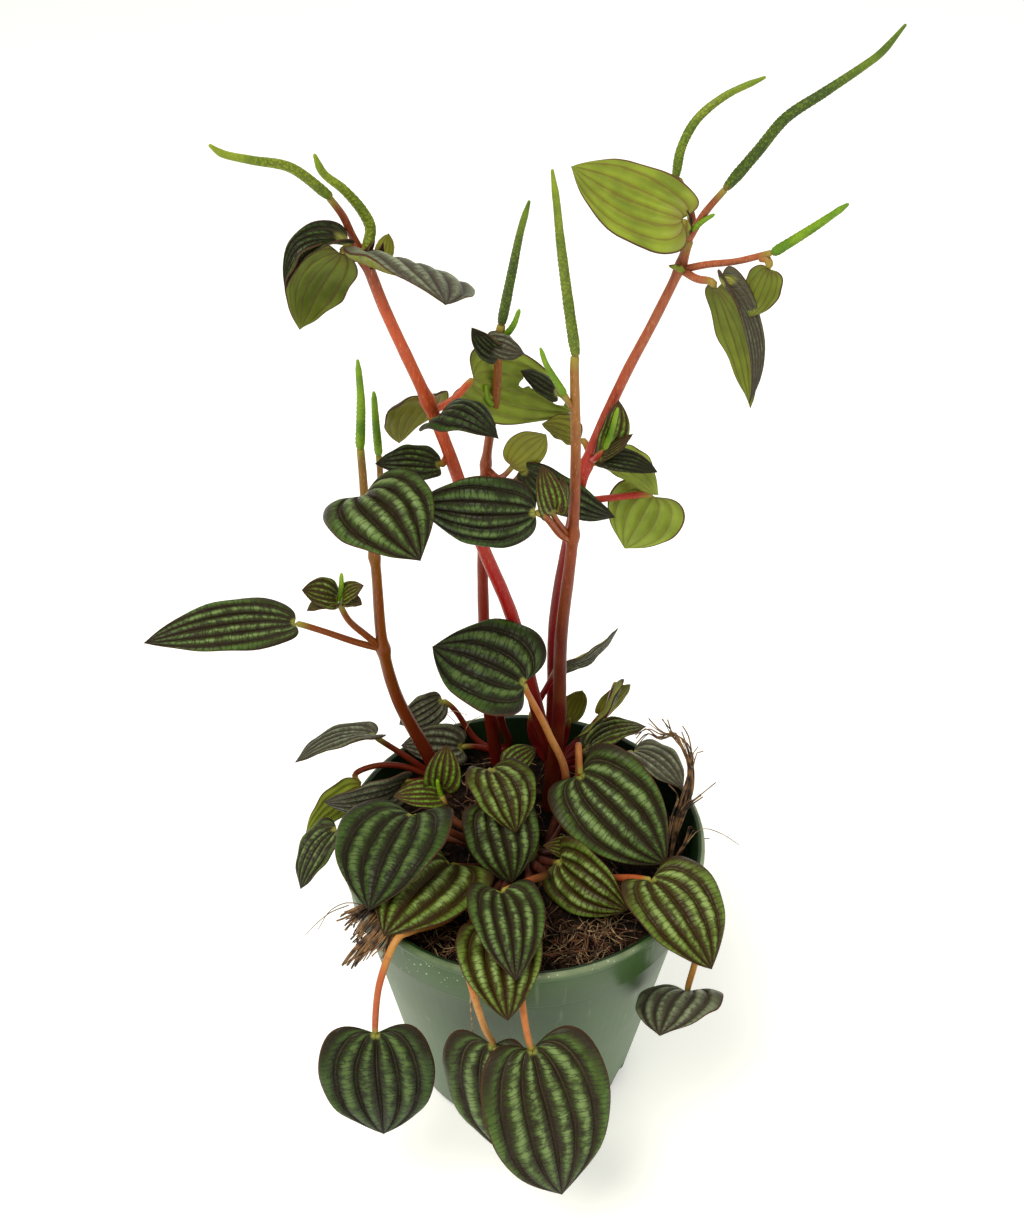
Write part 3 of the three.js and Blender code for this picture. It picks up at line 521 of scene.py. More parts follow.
MATURE = leaf_upper_skin("mature_upper_skin", "#2d2218", "#242c10", "#2e3c12", "#3b5a14", "#788c56", 0.9)
GREYED = leaf_upper_skin("greyed_upper_skin", "#413a31", "#4b4f3d", "#525840", "#666f52", "#8b9378", 0.9)
# dark skin: a darker copy of the mature one; some leaves that wear it are darker, and on others, such as
# leaf_left_large, it is painted shade
DARK_AND_SHADED = leaf_upper_skin("dark_and_shaded_upper_skin", "#221b12", "#1a2609", "#22320c", "#314e12", "#5e7140", 0.8)
# fresh skin: a brighter, warmer copy of the mature one; some leaves that wear it are fresher, and on
# leaf_left_front it is painted light
FRESH_AND_LIT = leaf_upper_skin("fresh_and_lit_upper_skin", "#36230f", "#333a10", "#445413", "#577219", "#8da15f", 0.9)
YOUNG = leaf_upper_skin("young_upper_skin", "#44241a", "#46620f", "#557f16", "#6a9622", "#8cab50", 0.5)
DRIED = leaf_underside_skin("dried_scale", "#2c1c10", "#150f0a", "#0c0806")
UNDER_GREEN = leaf_underside_skin("green_underside", "#8a9a30", "#74832a", "#664a22")
UNDER_OLIVE = leaf_underside_skin("olive_underside", "#84892f", "#757a2c", "#684a25")
# pale underside: a brighter copy; some undersides are paler, and on leaf_a_eaten it is painted light
UNDER_PALE_AND_LIT = leaf_underside_skin("pale_and_lit_underside", "#95a83c", "#7f9134", "#6c6c30")
UNDER_DEEP = leaf_underside_skin("deep_green_underside", "#6f7c26", "#5c681e", "#4e3a1c")

# on: the stem that a leaf grows from; through: its stalk's line, up to the blade; the other words
# are the blade function's, and skin and under stand where a leaf isn't mature or green below
LEAVES = [
    # stem A
    dict(name="leaf_a_curled", on="stem_a", through=[(-34.5, 1.6, 261), (-37, 0.6, 263.6)],
         base=(-39.4, -1.2, 263), tip=(-48, -8.5, 249), width=20, roll=120, cup=-0.3, arch=0.2, lobe=0.1,
         under=UNDER_DEEP),
    dict(name="leaf_a_top", on="stem_a", through=[(-34, 2, 260), (-31.5, -0.4, 262.5), (-30, -1.6, 260.4)],
         base=(-29.6, -2, 259), tip=(-16, -28, 264), width=28, roll=-65, cup=-0.05, lobe=0.12, skin=GREYED),
    dict(name="leaf_a_low_back", on="stem_a", through=[(-22, 9, 219), (-22, 14, 220)], base=(-23, 18, 218),
         tip=(-31, 23, 202.5), width=17, roll=115, cup=-0.1, lobe=0.15, under=UNDER_OLIVE),
    dict(name="leaf_a_low_wavy", on="stem_a", through=[(-22, 9, 217), (-21, 7, 218)], base=(-20, 5, 218),
         tip=(-6, -8, 222), width=13, roll=-40, cup=-0.2, arch=0.25, quilt=1.8, skin=DARK_AND_SHADED),
    dict(name="leaf_a_low_front", on="stem_a", through=[(-18, 11, 207), (-19.4, 12.6, 203.4)],
         base=(-20.6, 13, 201.8), tip=(-36, 11.4, 203.6), width=10, roll=30, cup=0, lobe=0.1, skin=DARK_AND_SHADED),
    # painted light: the pale underside brightens this turned-over leaf against the shade on it
    dict(name="leaf_a_eaten", on="stem_a", through=[(-22, 9.5, 219), (-17, 18, 217.6), (-13.4, 25, 218.2)],
         base=(-12.3, 26.9, 218.2), tip=(12.4, 38.2, 202.8), width=19.5, roll=200, cup=-0.1,
         holes=[(2.8, 17, 1.5, 1.6), (2.3, 20.6, 0.8, 2), (1.2, 26.6, 0.9, 1.6)], under=UNDER_PALE_AND_LIT),
    # stem B
    dict(name="leaf_b_front", on="stem_b", through=[(-38, 15, 176), (-36, 9, 184), (-36, 5, 193),
         (-37.2, 1.8, 199.8)], base=(-38, 1, 201), tip=(-24, -17, 195), width=26, roll=-20, cup=-0.15,
         arch=0.2, quilt=2.1),
    dict(name="leaf_b_side", on="stem_b", through=[(-38, 21, 139), (-45, 19, 143), (-53, 16, 149),
         (-59, 14, 153)], base=(-60, 13.5, 153.5), tip=(-97, 2, 156), width=15, roll=25, cup=-0.05,
         lobe=0.08),
    # stem C
    dict(name="leaf_c_narrow", on="stem_c", through=[(-10, 39, 184), (-6, 36, 181), (-2, 32, 186)],
         base=(0, 31, 190), tip=(24, 30, 176), width=11, roll=30, cup=-0.2, arch=0.15, lobe=0.1, skin=DARK_AND_SHADED),
    # stem D
    dict(name="leaf_d_dark", on="stem_d", through=[(12, 10, 182), (9, 7, 186), (5, 2, 194.5)],
         base=(2.4, 0, 197.4), tip=(-26, 5, 196.5), width=19, roll=-30, cup=-0.12, lobe=0.08, skin=DARK_AND_SHADED),
    # stem E
    dict(name="leaf_e_top", on="stem_e", through=[(37, 23.5, 255), (36, 22.6, 259)], base=(35, 22, 261),
         tip=(10, 22, 273), width=19, roll=190, cup=-0.1),
    dict(name="leaf_e_end", on="stem_e", through=[(51, 11.6, 256.4), (53, 10, 256.6)],
         base=(53.6, 9.2, 254.6), tip=(50, 7.6, 244), width=9, roll=200, cup=-0.3, lobe=0.1,
         under=UNDER_DEEP),
    dict(name="leaf_e_hanging", on="stem_e", through=[(36, 24, 248), (39, 19, 248), (42, 15, 249)],
         base=(43, 14, 248), tip=(52, 6, 222), width=13, roll=245, cup=-0.35, lobe=0.12, under=UNDER_DEEP),
    dict(name="leaf_e_folded", on="stem_e", through=[(16.5, 29.5, 192.5), (19, 28.4, 194)],
         base=(20.6, 27.6, 194.6), tip=(34, 22, 188), width=13, roll=230, cup=0.4, lobe=0.08,
         under=UNDER_PALE_AND_LIT),
    dict(name="leaf_e_pale", on="stem_e", through=[(17, 29.6, 195), (15.6, 31.6, 197.5)],
         base=(14.4, 32.5, 198.4), tip=(4.6, 35, 201), width=10, roll=130, lobe=0.05, under=UNDER_OLIVE),
    dict(name="leaf_e_round", on="stem_e", through=[(14, 31, 180), (25, 32, 181), (33, 32.4, 181.4)],
         base=(34, 32, 181), tip=(27, 30, 166), width=21, roll=180, cup=-0.12, under=UNDER_PALE_AND_LIT),
    # the mound at the back and left
    dict(name="leaf_high", on="crown", through=[(7, 0, 85), (12, 7, 104), (7, 8, 120), (1, 4, 138)],
         base=(0, 2.6, 142.2), tip=(-24, 11.4, 147.4), width=30, roll=35, cup=0.12, arch=0.05, skin=DARK_AND_SHADED),
    dict(name="leaf_back_narrow", on="stem_e", through=[(3, 31, 108), (9.2, 29.6, 124)],
         base=(9.6, 29.4, 126), tip=(27, 38, 133), width=10, roll=70, lobe=0.1, skin=GREYED),
    dict(name="leaf_back_left", on="stem_c", through=[(-8, 40, 84), (-13, 40, 86), (-17.6, 38.4, 87.6)],
         base=(-18.6, 37.6, 88), tip=(-36, 33.4, 92.6), width=13, roll=20, skin=GREYED),
    dict(name="leaf_back_curled", on="stem_c", through=[(-8, 40, 84), (-14, 42, 87.5),
         (-20.6, 44.4, 97.6)], base=(-24, 44.6, 101), tip=(-37, 42, 93.4), width=11, roll=-20, lobe=0.1,
         skin=GREYED),
    dict(name="leaf_left_edge_on", on="stem_b", through=[(-25, 28, 84), (-33, 28, 92), (-42, 28, 100)],
         base=(-43, 28, 101), tip=(-65, 18, 100), width=16, roll=70, skin=GREYED),
    dict(name="leaf_left_upper", on="stem_b", through=[(-25, 28, 84), (-29, 20, 91), (-33.5, 14.5, 95.5)],
         base=(-34, 14, 96), tip=(-56, 6, 96), width=15, roll=-45, skin=GREYED),
    dict(name="leaf_left_under", on="stem_b", through=[(-25, 28, 84), (-35, 26, 91), (-43, 23, 94),
         (-48.5, 19.8, 93.5)], base=(-46.6, 16, 92.5), tip=(-62, 5, 84), width=12, roll=140, cup=0.05,
         arch=0.05, lobe=0.1, full=1.4),
    # the mound at the left and in the middle
    dict(name="leaf_left_lower", on="crown", through=[(-6, -2, 85), (-26, 0, 89), (-42, -1, 93.4),
         (-50, -2.4, 94.8)], base=(-51.6, -3, 94), tip=(-61, -16, 84.4), width=15, roll=50),
    # painted shade: the dark skin darkens this leaf, which the lamps light more brightly than the rest of the
    # mound
    dict(name="leaf_left_large", on="crown", through=[(-5, -4, 85), (-18, -6, 95), (-27, -7.4, 102.4)],
         base=(-30, -8, 104.6), tip=(-40, -35, 97), width=34, roll=35, cup=0.12, skin=DARK_AND_SHADED),
    # painted light: the brighter fresh skin lifts this leaf, which lies in the shade of leaf_left_large
    dict(name="leaf_left_front", on="crown", through=[(-5, -6, 85), (-12, -10, 87), (-19, -12.6, 90)],
         base=(-20, -13, 91), tip=(-36, -41, 94), width=31, roll=30, skin=FRESH_AND_LIT),
    dict(name="leaf_middle_top", on="crown", through=[(-3, 2, 86), (-7, 8, 97), (-9.2, 9, 104.6)],
         base=(-9, 7.2, 107), tip=(-2, -8, 98), width=21, roll=-35, skin=FRESH_AND_LIT),
    dict(name="leaf_middle", on="crown", through=[(-3, 1, 86), (-8, 3, 94), (-8.5, 2, 98)],
         base=(-8.5, 0, 99.6), tip=(-3, -14.4, 85), width=22, roll=-20),
    dict(name="leaf_middle_low", on="crown", through=[(3, -7, 85), (6, -15, 89), (2, -23, 95.5),
         (-4, -28.5, 98)], base=(-6, -30, 98.4), tip=(-2, -57, 96), width=20, roll=-15),
    dict(name="leaf_middle_rim", on="crown", through=[(-2, -5, 84), (-7, -22, 85), (-8, -34, 90)],
         base=(-7, -39, 93.4), tip=(-4, -63, 88), width=22, roll=-5, arch=0.14, skin=FRESH_AND_LIT),
    # the mound at the right
    dict(name="leaf_right_large", on="crown", through=[(7, -1, 85), (15, 8, 98), (15.5, 13, 111),
         (15.5, 10, 112)], base=(16, 6, 106), tip=(39, -13, 91), width=28, roll=-8, cup=0.12),
    dict(name="leaf_right_under", on="crown", through=[(4, -5, 84.6), (9.4, -9.6, 87.8)],
         base=(10.4, -10.8, 89.8), tip=(28, -27, 88), width=19, roll=15, skin=FRESH_AND_LIT),
    dict(name="leaf_right_front", on="crown", through=[(5, -6, 84), (18, -13, 86), (30, -20, 93)],
         base=(34, -24, 96.4), tip=(48.4, -46, 87), width=26, roll=-30, cup=0.12, arch=0.12, skin=FRESH_AND_LIT),
    dict(name="leaf_right_back", on="stem_e", through=[(9, 34, 84), (15, 30, 89), (18.5, 27.4, 96)],
         base=(19, 27, 97), tip=(36, 30, 103), width=18, roll=-70, skin=FRESH_AND_LIT),
    dict(name="leaf_right_behind", on="stem_e", through=[(9, 34, 84), (22, 28, 88), (31, 23, 99)],
         base=(32, 22, 100), tip=(45, 8, 99), width=17, roll=-55, skin=GREYED),
    dict(name="leaf_right_edge_on", on="stem_e", through=[(26, 38.4, 106), (26.8, 35.6, 113.6)],
         base=(27, 34, 116), tip=(15, 26, 101.6), width=10, roll=-85, skin=DARK_AND_SHADED),
    # the four that hang over the rim
    dict(name="leaf_hanging_left", on="crown", through=[(-3, -5, 84), (-20, -26, 84), (-29, -37, 91.4),
         (-32.4, -41, 93.2), (-37, -47.4, 84), (-39, -50, 68)], base=(-39, -50, 66), tip=(-38, -58, 33),
         width=31, cup=0.12, arch=0.05, skin=DARK_AND_SHADED),
    dict(name="leaf_hanging_middle", on="crown", through=[(-1, -5, 84), (-13, -26, 84), (-16, -40, 87.6),
         (-15, -48, 92.8), (-13.4, -54, 91.4), (-10, -56, 76), (-8, -53.6, 67)], base=(-8, -53, 65),
         tip=(0, -61, 23), width=30, roll=30, arch=0.05),
    dict(name="leaf_hanging_large", on="crown", through=[(1, -5, 84), (3, -24, 83.6), (2, -40, 85.6),
         (0.4, -49, 92.6), (-0.6, -55, 90.8), (0.2, -60, 84), (1.6, -61.4, 76)], base=(2, -61, 74),
         tip=(10, -78, 36), width=34, roll=-15, cup=0.12, arch=0.08),
    dict(name="leaf_hanging_right", on="crown", through=[(4, -4, 84), (24, -17, 84), (36, -24, 88.6),
         (42, -28, 93), (47, -31.6, 88), (46.4, -33.4, 76), (45, -34, 65)], base=(45, -34, 63),
         tip=(36, -50, 65), width=25, roll=60, cup=-0.1, skin=GREYED),
]
OTHER_WORDS = ("name", "on", "through", "skin", "under")


def make_leaves():
    """Every large leaf, each in place of its own node."""
    for seed, leaf in enumerate(LEAVES):
        shape = {word: value for word, value in leaf.items() if word not in OTHER_WORDS}
        skins = (leaf.get("skin", MATURE), leaf.get("under", UNDER_GREEN))
        piece = blade(skins, **shape, seed=seed)
        piece.name = "blade_of_" + leaf["name"]
        settle(piece, None, "leaf", leaf["name"])


make_leaves()


# The stems are fleshy and round, red or maroon, with swollen joints where stalks leave them. They
# turn orange or olive towards their tops, and fine pale specks run along them. The leaf stalks are
# thinner, orange to red-brown, with painted shade that darkens them near the crown, and
# yellow-green where they meet the blade.
def fleshy_stem_skin(name, low, middle, high, low_z, high_z):
    """Satin stem skin whose colour shifts from the soil up, with pale specks and faint streaks. The
    stalks' ends turn yellow-green."""
    stem = new_material(name)
    place = add(stem, "TexCoord").outputs["Object"]
    height = add(stem, "SeparateXYZ", {0: place}).outputs[2]
    ends = add(stem, "Attribute", attribute_name="ends").outputs["Vector"]
    to_tip = add(stem, "SeparateXYZ", {0: ends}).outputs[1]
    drawn = add(stem, "Mapping", {0: place, 3: (1, 1, 0.18)}).outputs[0]
    streak = add(stem, "TexNoise", {"Vector": drawn, "Scale": 1100, "Detail": 4}).outputs[0]
    cloud = add(stem, "TexNoise", {"Vector": place, "Scale": 90, "Detail": 3}).outputs[0]
    speck = add(stem, "TexVoronoi", {"Vector": drawn, "Scale": 1800}).outputs[0]
    half = (low_z + high_z) / 2
    skin = blend(stem, between(stem, height, low_z * MM, half * MM), low, middle)
    skin = blend(stem, between(stem, height, half * MM, high_z * MM), skin, high)
    skin = blend(stem, multiply(stem, between(stem, cloud, 0.4, 0.65), 0.12), skin, high)
    brown_top = between(stem, height, (high_z + 16) * MM, (high_z + 32) * MM)
    skin = blend(stem, multiply(stem, brown_top, 0.8), skin, "#6e3a22")
    skin = blend(stem, multiply(stem, between(stem, streak, 0.45, 0.75), 0.4), skin, low)
    pale = multiply(stem, between(stem, speck, 0.32, 0.12), between(stem, height, 120 * MM, high_z * MM))
    skin = blend(stem, multiply(stem, pale, 0.35), skin, "#d99a6c")
    skin = blend(stem, multiply(stem, between(stem, to_tip, 5, 0.5), 0.75), skin, "#8d8a36")
    bump = add(stem, "Bump", {"Height": streak, "Strength": 0.25, "Distance": 0.15 * MM}).outputs[0]
    return surface(stem, Base_Color=skin, Roughness=0.36, Normal=bump, IOR=1.45, Specular_IOR_Level=0.3)


def leaf_stalk_skin():
    """Satin skin of the mound's leaf stalks: orange to pink where the light reaches them, darkened
    to red-brown near the crown by painted shade, and yellow-green at the blade."""
    stalk = new_material("leaf_stalk_skin")
    place = add(stalk, "TexCoord").outputs["Object"]
    ends = add(stalk, "Attribute", attribute_name="ends").outputs["Vector"]
    to_tip = add(stalk, "SeparateXYZ", {0: ends}).outputs[1]
    middle = add(stalk, "VectorMath", {0: place, 1: (0, 0, -0.084)}, operation="ADD").outputs[0]
    reach = add(stalk, "VectorMath", {0: middle}, operation="LENGTH").outputs[1]
    hue = add(stalk, "TexNoise", {"Vector": place, "Scale": 34, "Detail": 2}).outputs[0]
    streak = add(stalk, "TexNoise", {"Vector": place, "Scale": 700, "Detail": 4}).outputs[0]
    lit = blend(stalk, between(stalk, hue, 0.4, 0.6), "#bc8442", "#b0582e")
    # painted shade: the stalks are darkened to red-brown near the crown, under the mound's leaves, fading out
    # between 14 and 42 mm from it
    skin = blend(stalk, between(stalk, reach, 14 * MM, 42 * MM), "#3e1c12", lit)
    skin = blend(stalk, multiply(stalk, between(stalk, streak, 0.45, 0.7), 0.3), skin, "#7c3524")
    skin = blend(stalk, multiply(stalk, between(stalk, to_tip, 4, 0.8), 0.85), skin, "#8f8a36")
    bump = add(stalk, "Bump", {"Height": streak, "Strength": 0.25, "Distance": 0.15 * MM}).outputs[0]
    return surface(stalk, Base_Color=skin, Roughness=0.4, Normal=bump, IOR=1.45, Specular_IOR_Level=0.3)


def flower_spike_skin(name, low, high, grain):
    """Grainy green skin of a flower spike, with painted shade in the gaps between its florets."""
    spike = new_material(name)
    place = add(spike, "TexCoord").outputs["Object"]
    along = add(spike, "SeparateXYZ", {0: add(spike, "UVMap").outputs[0]}).outputs[1]
    florets = add(spike, "TexVoronoi", {"Vector": place, "Scale": 1700}).outputs[0]
    cloud = add(spike, "TexNoise", {"Vector": place, "Scale": 160, "Detail": 3}).outputs[0]
    skin = blend(spike, between(spike, cloud, 0.35, 0.65), low, high)
    # painted shade: the gaps between the florets are darkened, most on the crowded lower part; grain sets how
    # much
    crowded = multiply(spike, between(spike, along, 0.95, 0.55), grain)
    floret_gap_shade = multiply(spike, between(spike, florets, 0.25, 0.6), crowded)
    skin = blend(spike, floret_gap_shade, skin, "#2b3b0c")
    skin = blend(spike, multiply(spike, between(spike, along, 0.045, 0.0), 0.7), skin, "#8a5a34")
    relief = {"Height": florets, "Strength": 0.5, "Distance": 0.3 * MM}
    bump = add(spike, "Bump", relief, invert=True).outputs[0]
    return surface(spike, Base_Color=skin, Roughness=0.5, Normal=bump, IOR=1.42)


STEM_SKINS = {
    "crown": leaf_stalk_skin(),
    "stem_a": fleshy_stem_skin("scarlet_stem_skin", "#640a0e", "#a41614", "#c0522c", 100, 228),
    "stem_b": fleshy_stem_skin("olive_brown_stem_skin", "#62180e", "#783808", "#7a580e", 84, 206),
    "stem_c": fleshy_stem_skin("maroon_stem_skin", "#5a0608", "#82240e", "#8a5420", 84, 234),
    "stem_d": fleshy_stem_skin("dark_red_stem_skin", "#500806", "#86380f", "#96682c", 138, 238),
    "stem_e": fleshy_stem_skin("crimson_stem_skin", "#760e12", "#b0342a", "#a25a3a", 146, 238),
}
SPIKE = flower_spike_skin("flower_spike_skin", "#476004", "#647c0a", 0.75)
RIPE_SPIKE = flower_spike_skin("ripe_spike_skin", "#68800a", "#88981e", 0.5)
YOUNG_SPIKE = flower_spike_skin("young_spike_skin", "#588204", "#7ca010", 0.2)


def young_leaf(base, tip, width, roll=0, cup=0.1, skin=YOUNG, under=UNDER_OLIVE, quilt=0.6, **more):
    """A small new leaf, with what the blade function takes."""
    more |= dict(base=base, tip=tip, width=width, roll=roll, cup=cup, quilt=quilt, wave=0.2)
    return dict(skins=(skin, under), **more)


# stem: its line, its radius at root and tip; side: thin side stalks, each a line and two radii;
# joints: the swollen places; young: small leaves; buds: small spikes
GROWERS = {
    "crown": dict(
        stem=([(0, -3, 68), (0, -2, 78), (-1, -1.6, 87)], 6.5, 7.6),
        side=[
            ([(-4, -2, 86), (-15, 0, 91), (-20, 2, 94), (-23, 6, 99.5)], 1.6, 0.9),
            ([(4, -3, 85), (12, -3, 86), (15, -4, 87.5)], 1.3, 0.8),
            ([(-3, 3, 85), (-5, 14, 92), (-4.2, 18, 98)], 1.3, 0.8),
        ],
        joints=[],
        young=[
            young_leaf((-23, 8, 100), (-21, 10, 114), 11, 5, 0.3, full=1.7),
            young_leaf((-23, 6, 98), (-36, 2, 102), 9, 30, 0.2),
            young_leaf((15, -4, 87), (5.5, -8, 93), 7, 20),
            young_leaf((-4, 18, 98), (4, 22, 102), 9, -30),
        ],
        buds=[([(-22, 5, 97), (-23.4, 6, 101), (-23.8, 6.4, 104.5)], 0.95, 0.6)],
    ),
    "stem_a": dict(
        stem=([(12, 28, 66), (11.5, 27, 80), (5, 24, 111), (-3, 20, 151), (-11, 16, 178), (-20, 10, 214),
               (-31, 4, 248), (-34, 2, 259), (-36, 1, 264)], 2.4, 1.35),
        side=[([(-34.5, 1.5, 261), (-36.5, 0.5, 266), (-38, -1, 271), (-40.5, -4, 276.6)], 1, 0.8)],
        joints=[(-23, 8.5, 222), (-34.5, 1.6, 261)],
        young=[
            young_leaf((-30.6, 1, 260.6), (-29, 2, 266), 4.2, 190, 0.2),
            young_leaf((-31.6, 0.4, 260.8), (-30, -1.4, 265.4), 1.8, 30, 0.5, DRIED, DRIED),
            young_leaf((-36.6, 1, 260.4), (-39.4, 0, 263.4), 2, 60, 0.5, DRIED, DRIED),
            young_leaf((-32.8, 0.4, 259.4), (-29.8, -1, 261), 2, 10, 0.4, DRIED, DRIED),
            young_leaf((-34.6, 0.2, 262.6), (-31.8, -0.6, 265.6), 1.8, 80, 0.6, DRIED, DRIED),
            young_leaf((8, 34.4, 210.4), (-0.9, 33.4, 217), 6.4, 20, -0.5, DARK_AND_SHADED, DARK_AND_SHADED, 1),
            young_leaf((-37.5, -2, 265.2), (-50.2, -9.5, 258.1), 6.5, 0, 0.4, DARK_AND_SHADED, DARK_AND_SHADED, sweep=0.3),
        ],
        buds=[],
    ),
    "stem_b": dict(
        stem=([(-24.5, 28, 66), (-25, 28, 84), (-27, 27, 93), (-35, 24, 118), (-38, 21, 139), (-38, 15, 173),
               (-39, 12, 188), (-39, 10, 203), (-39, 9, 210)], 2.5, 1.0),
        side=[
            ([(-38, 15, 175), (-36.5, 16, 186), (-35.5, 16.5, 196), (-35.5, 16, 204)], 1.1, 0.8),
            ([(-38, 21, 139), (-42, 18, 146), (-46, 15.5, 153), (-48, 14, 160)], 1.1, 0.9),
        ],
        joints=[(-38, 21, 139), (-38, 15, 174)],
        young=[
            young_leaf((-48.4, 14, 161), (-56.6, 10, 167), 9, 25, 0.3, FRESH_AND_LIT, lobe=0.1, full=2.3),
            young_leaf((-47, 13.4, 161.4), (-41, 12, 167), 6, -30, 0.2, lobe=0.1, full=2.2),
            young_leaf((-48.2, 13, 160.6), (-55.6, 8.6, 161.4), 5.6, 50, 0.2, lobe=0.1, full=2.2),
            young_leaf((-46.4, 13, 160.4), (-41.6, 10.4, 162), 5, -50, 0.2, lobe=0.1, full=2.2),
        ],
        buds=[([(-47.6, 14, 160), (-47, 13.6, 165), (-46.6, 13.4, 170)], 0.9, 0.6)],
    ),
    "stem_c": dict(
        stem=([(-8, 40, 66), (-8, 40, 82), (-10, 40, 105), (-11, 40, 136), (-11, 40, 160), (-10, 39, 185),
               (-6.9, 31.6, 212.5), (-5.9, 26.6, 230.2), (-5.4, 25.9, 233.9)], 2.3, 1.0),
        side=[
            ([(-8, 40, 84), (-4.4, 40.5, 86), (-6, 36, 99), (-7, 30, 113)], 1.5, 1.1),
            ([(-10, 39, 186), (-7, 37, 184), (-5, 33, 187), (-2.5, 30, 192)], 0.9, 0.75),
        ],
        joints=[(-10, 39, 187), (-5.9, 26.6, 230.2)],
        young=[
            young_leaf((-7, 30, 112.5), (-12, 41, 122), 12, 10),
            young_leaf((-5.9, 26.4, 226), (-12.5, 22.1, 234.3), 7.6, -40, 0.5, DARK_AND_SHADED, quilt=1),
            young_leaf((-8.2, 25, 228.9), (-0.1, 20.8, 228.3), 7, 30, -0.4, GREYED, quilt=1),
            young_leaf((-3.3, 30, 191.9), (5.6, 29, 201.4), 10, 200, 0.05, lobe=0.1, full=1.8),
        ],
        buds=[
            ([(-4.9, 25.9, 229.9), (-2.6, 24.7, 233.8), (-1.2, 24.3, 238.1)], 0.9, 0.6),
            ([(-7.9, 31.9, 208), (-9.3, 30.6, 211.3), (-9.5, 30, 215.3)], 0.9, 0.6),
        ],
    ),
    "stem_d": dict(
        stem=([(8, 20, 66), (8, 20, 83), (10, 17, 117), (10, 14, 148), (12, 10, 182), (12, 6, 211),
               (11, 2, 234), (11, 2, 238)], 2.5, 1.1),
        side=[
            ([(11.5, 4, 222), (9.6, 2.4, 226), (8.5, 2, 228.5)], 0.8, 0.7),
            ([(12, 10, 182), (9.6, 8, 187), (7.6, 5, 192), (5.8, 3.9, 196.5)], 0.9, 0.75),
        ],
        joints=[(12, 9.5, 184)],
        young=[
            young_leaf((7, 4, 195), (4, 2, 209), 8.4, 0, 0.5, full=1.8),
            young_leaf((8.2, 4, 196), (8.6, 5, 204), 5, 60, 0.4),
        ],
        buds=[([(9, 2.1, 227.5), (6.6, 1.2, 232), (4.6, 0.6, 236), (3.2, 0, 240.5)], 0.95, 0.6)],
    ),
    "stem_e": dict(
        stem=([(9, 34.5, 66), (9, 34, 82), (9, 34, 114), (9, 33, 140), (12, 32, 167), (16, 30, 192),
               (24, 27, 218), (31, 25, 236), (36, 24, 250), (37, 23.5, 256)], 2.4, 1.15),
        side=[
            ([(36.5, 24, 254), (40, 22.6, 262), (44.5, 21.8, 268.5)], 1.0, 0.8),
            ([(36.5, 24, 254), (38.4, 28, 257), (37, 32, 262), (34.6, 32, 267)], 0.85, 0.7),
            ([(36, 24, 248), (41, 20, 251), (47, 15, 254), (54, 9, 258.8)], 0.95, 0.75),
            ([(17, 29, 194), (18, 25, 197), (20.2, 22.2, 203)], 0.9, 0.75),
            ([(9, 34, 84), (4.6, 36, 90), (2.6, 34, 98), (3, 31, 108)], 1.5, 1.1),
            ([(9, 34, 84), (18, 38.5, 88), (25.2, 39.4, 101), (26.2, 38, 108)], 1.5, 1.0),
            ([(9, 34, 84), (15, 38, 88), (20, 41, 92), (24.8, 44, 97)], 1.3, 0.8),
            ([(9, 34, 84), (12.6, 38, 90), (14.2, 38, 100)], 1.2, 0.8),
        ],
        joints=[(16, 30, 192), (36, 24, 249), (37, 23.6, 256)],
        young=[
            young_leaf((20, 22, 202), (23, 24, 214), 9, 30, 0.3),
            young_leaf((19, 25, 198), (26.6, 20, 207), 3.6, 20),
            young_leaf((19.6, 25, 196.6), (33.4, 21.5, 195), 6.5, 15, 0.3, DARK_AND_SHADED, DARK_AND_SHADED, sweep=-0.1),
            young_leaf((43.6, 12.4, 250.4), (51.4, 4.8, 223.9), 4.6, 0, 0.3, GREYED, DARK_AND_SHADED, sweep=-0.14),
            young_leaf((36.4, 22.6, 257.4), (35.8, 21, 263.4), 1.8, 60, 0.6, DRIED, UNDER_GREEN),
            young_leaf((36, 21.4, 248.6), (32.6, 20.6, 250.4), 1.8, 120, 0.4, UNDER_GREEN, UNDER_GREEN),
            young_leaf((24.6, 44, 96), (32, 42, 109), 6.4, 205),
            young_leaf((14, 38, 99), (17.6, 38, 110), 8, 195),
        ],
        buds=[
            ([(19.6, 21, 202), (21, 19.4, 207), (22.5, 18.8, 215)], 0.95, 0.6),
            ([(37.4, 22.6, 258), (39.6, 21.6, 260.6), (42.2, 21, 262.6)], 0.75, 0.5),
        ],
    ),
}


SWELLING = 0.32
SWELLING_REACH = 2.2
FLORETS_AROUND = 9
FLORET_ROW = 0.62


def stalk(points, root, tip, joints=(), sides=12):
    """A tapering stem or stalk, swollen at its joints and a little uneven in width."""
    swellings = [Vector(joint) * MM for joint in joints]

    def radius_at(t, angle, place):
        radius = 0.93 * (root + (tip - root) * t)
        radius *= 1 + 0.04 * noise.noise(place / (5 * MM)) + 0.02 * math.cos(5 * angle)
        for joint in swellings:
            away = (place - joint).length / (SWELLING_REACH * MM)
            radius *= 1 + SWELLING * math.exp(-away ** 2)
        return radius

    return rod(points, radius_at, sides)


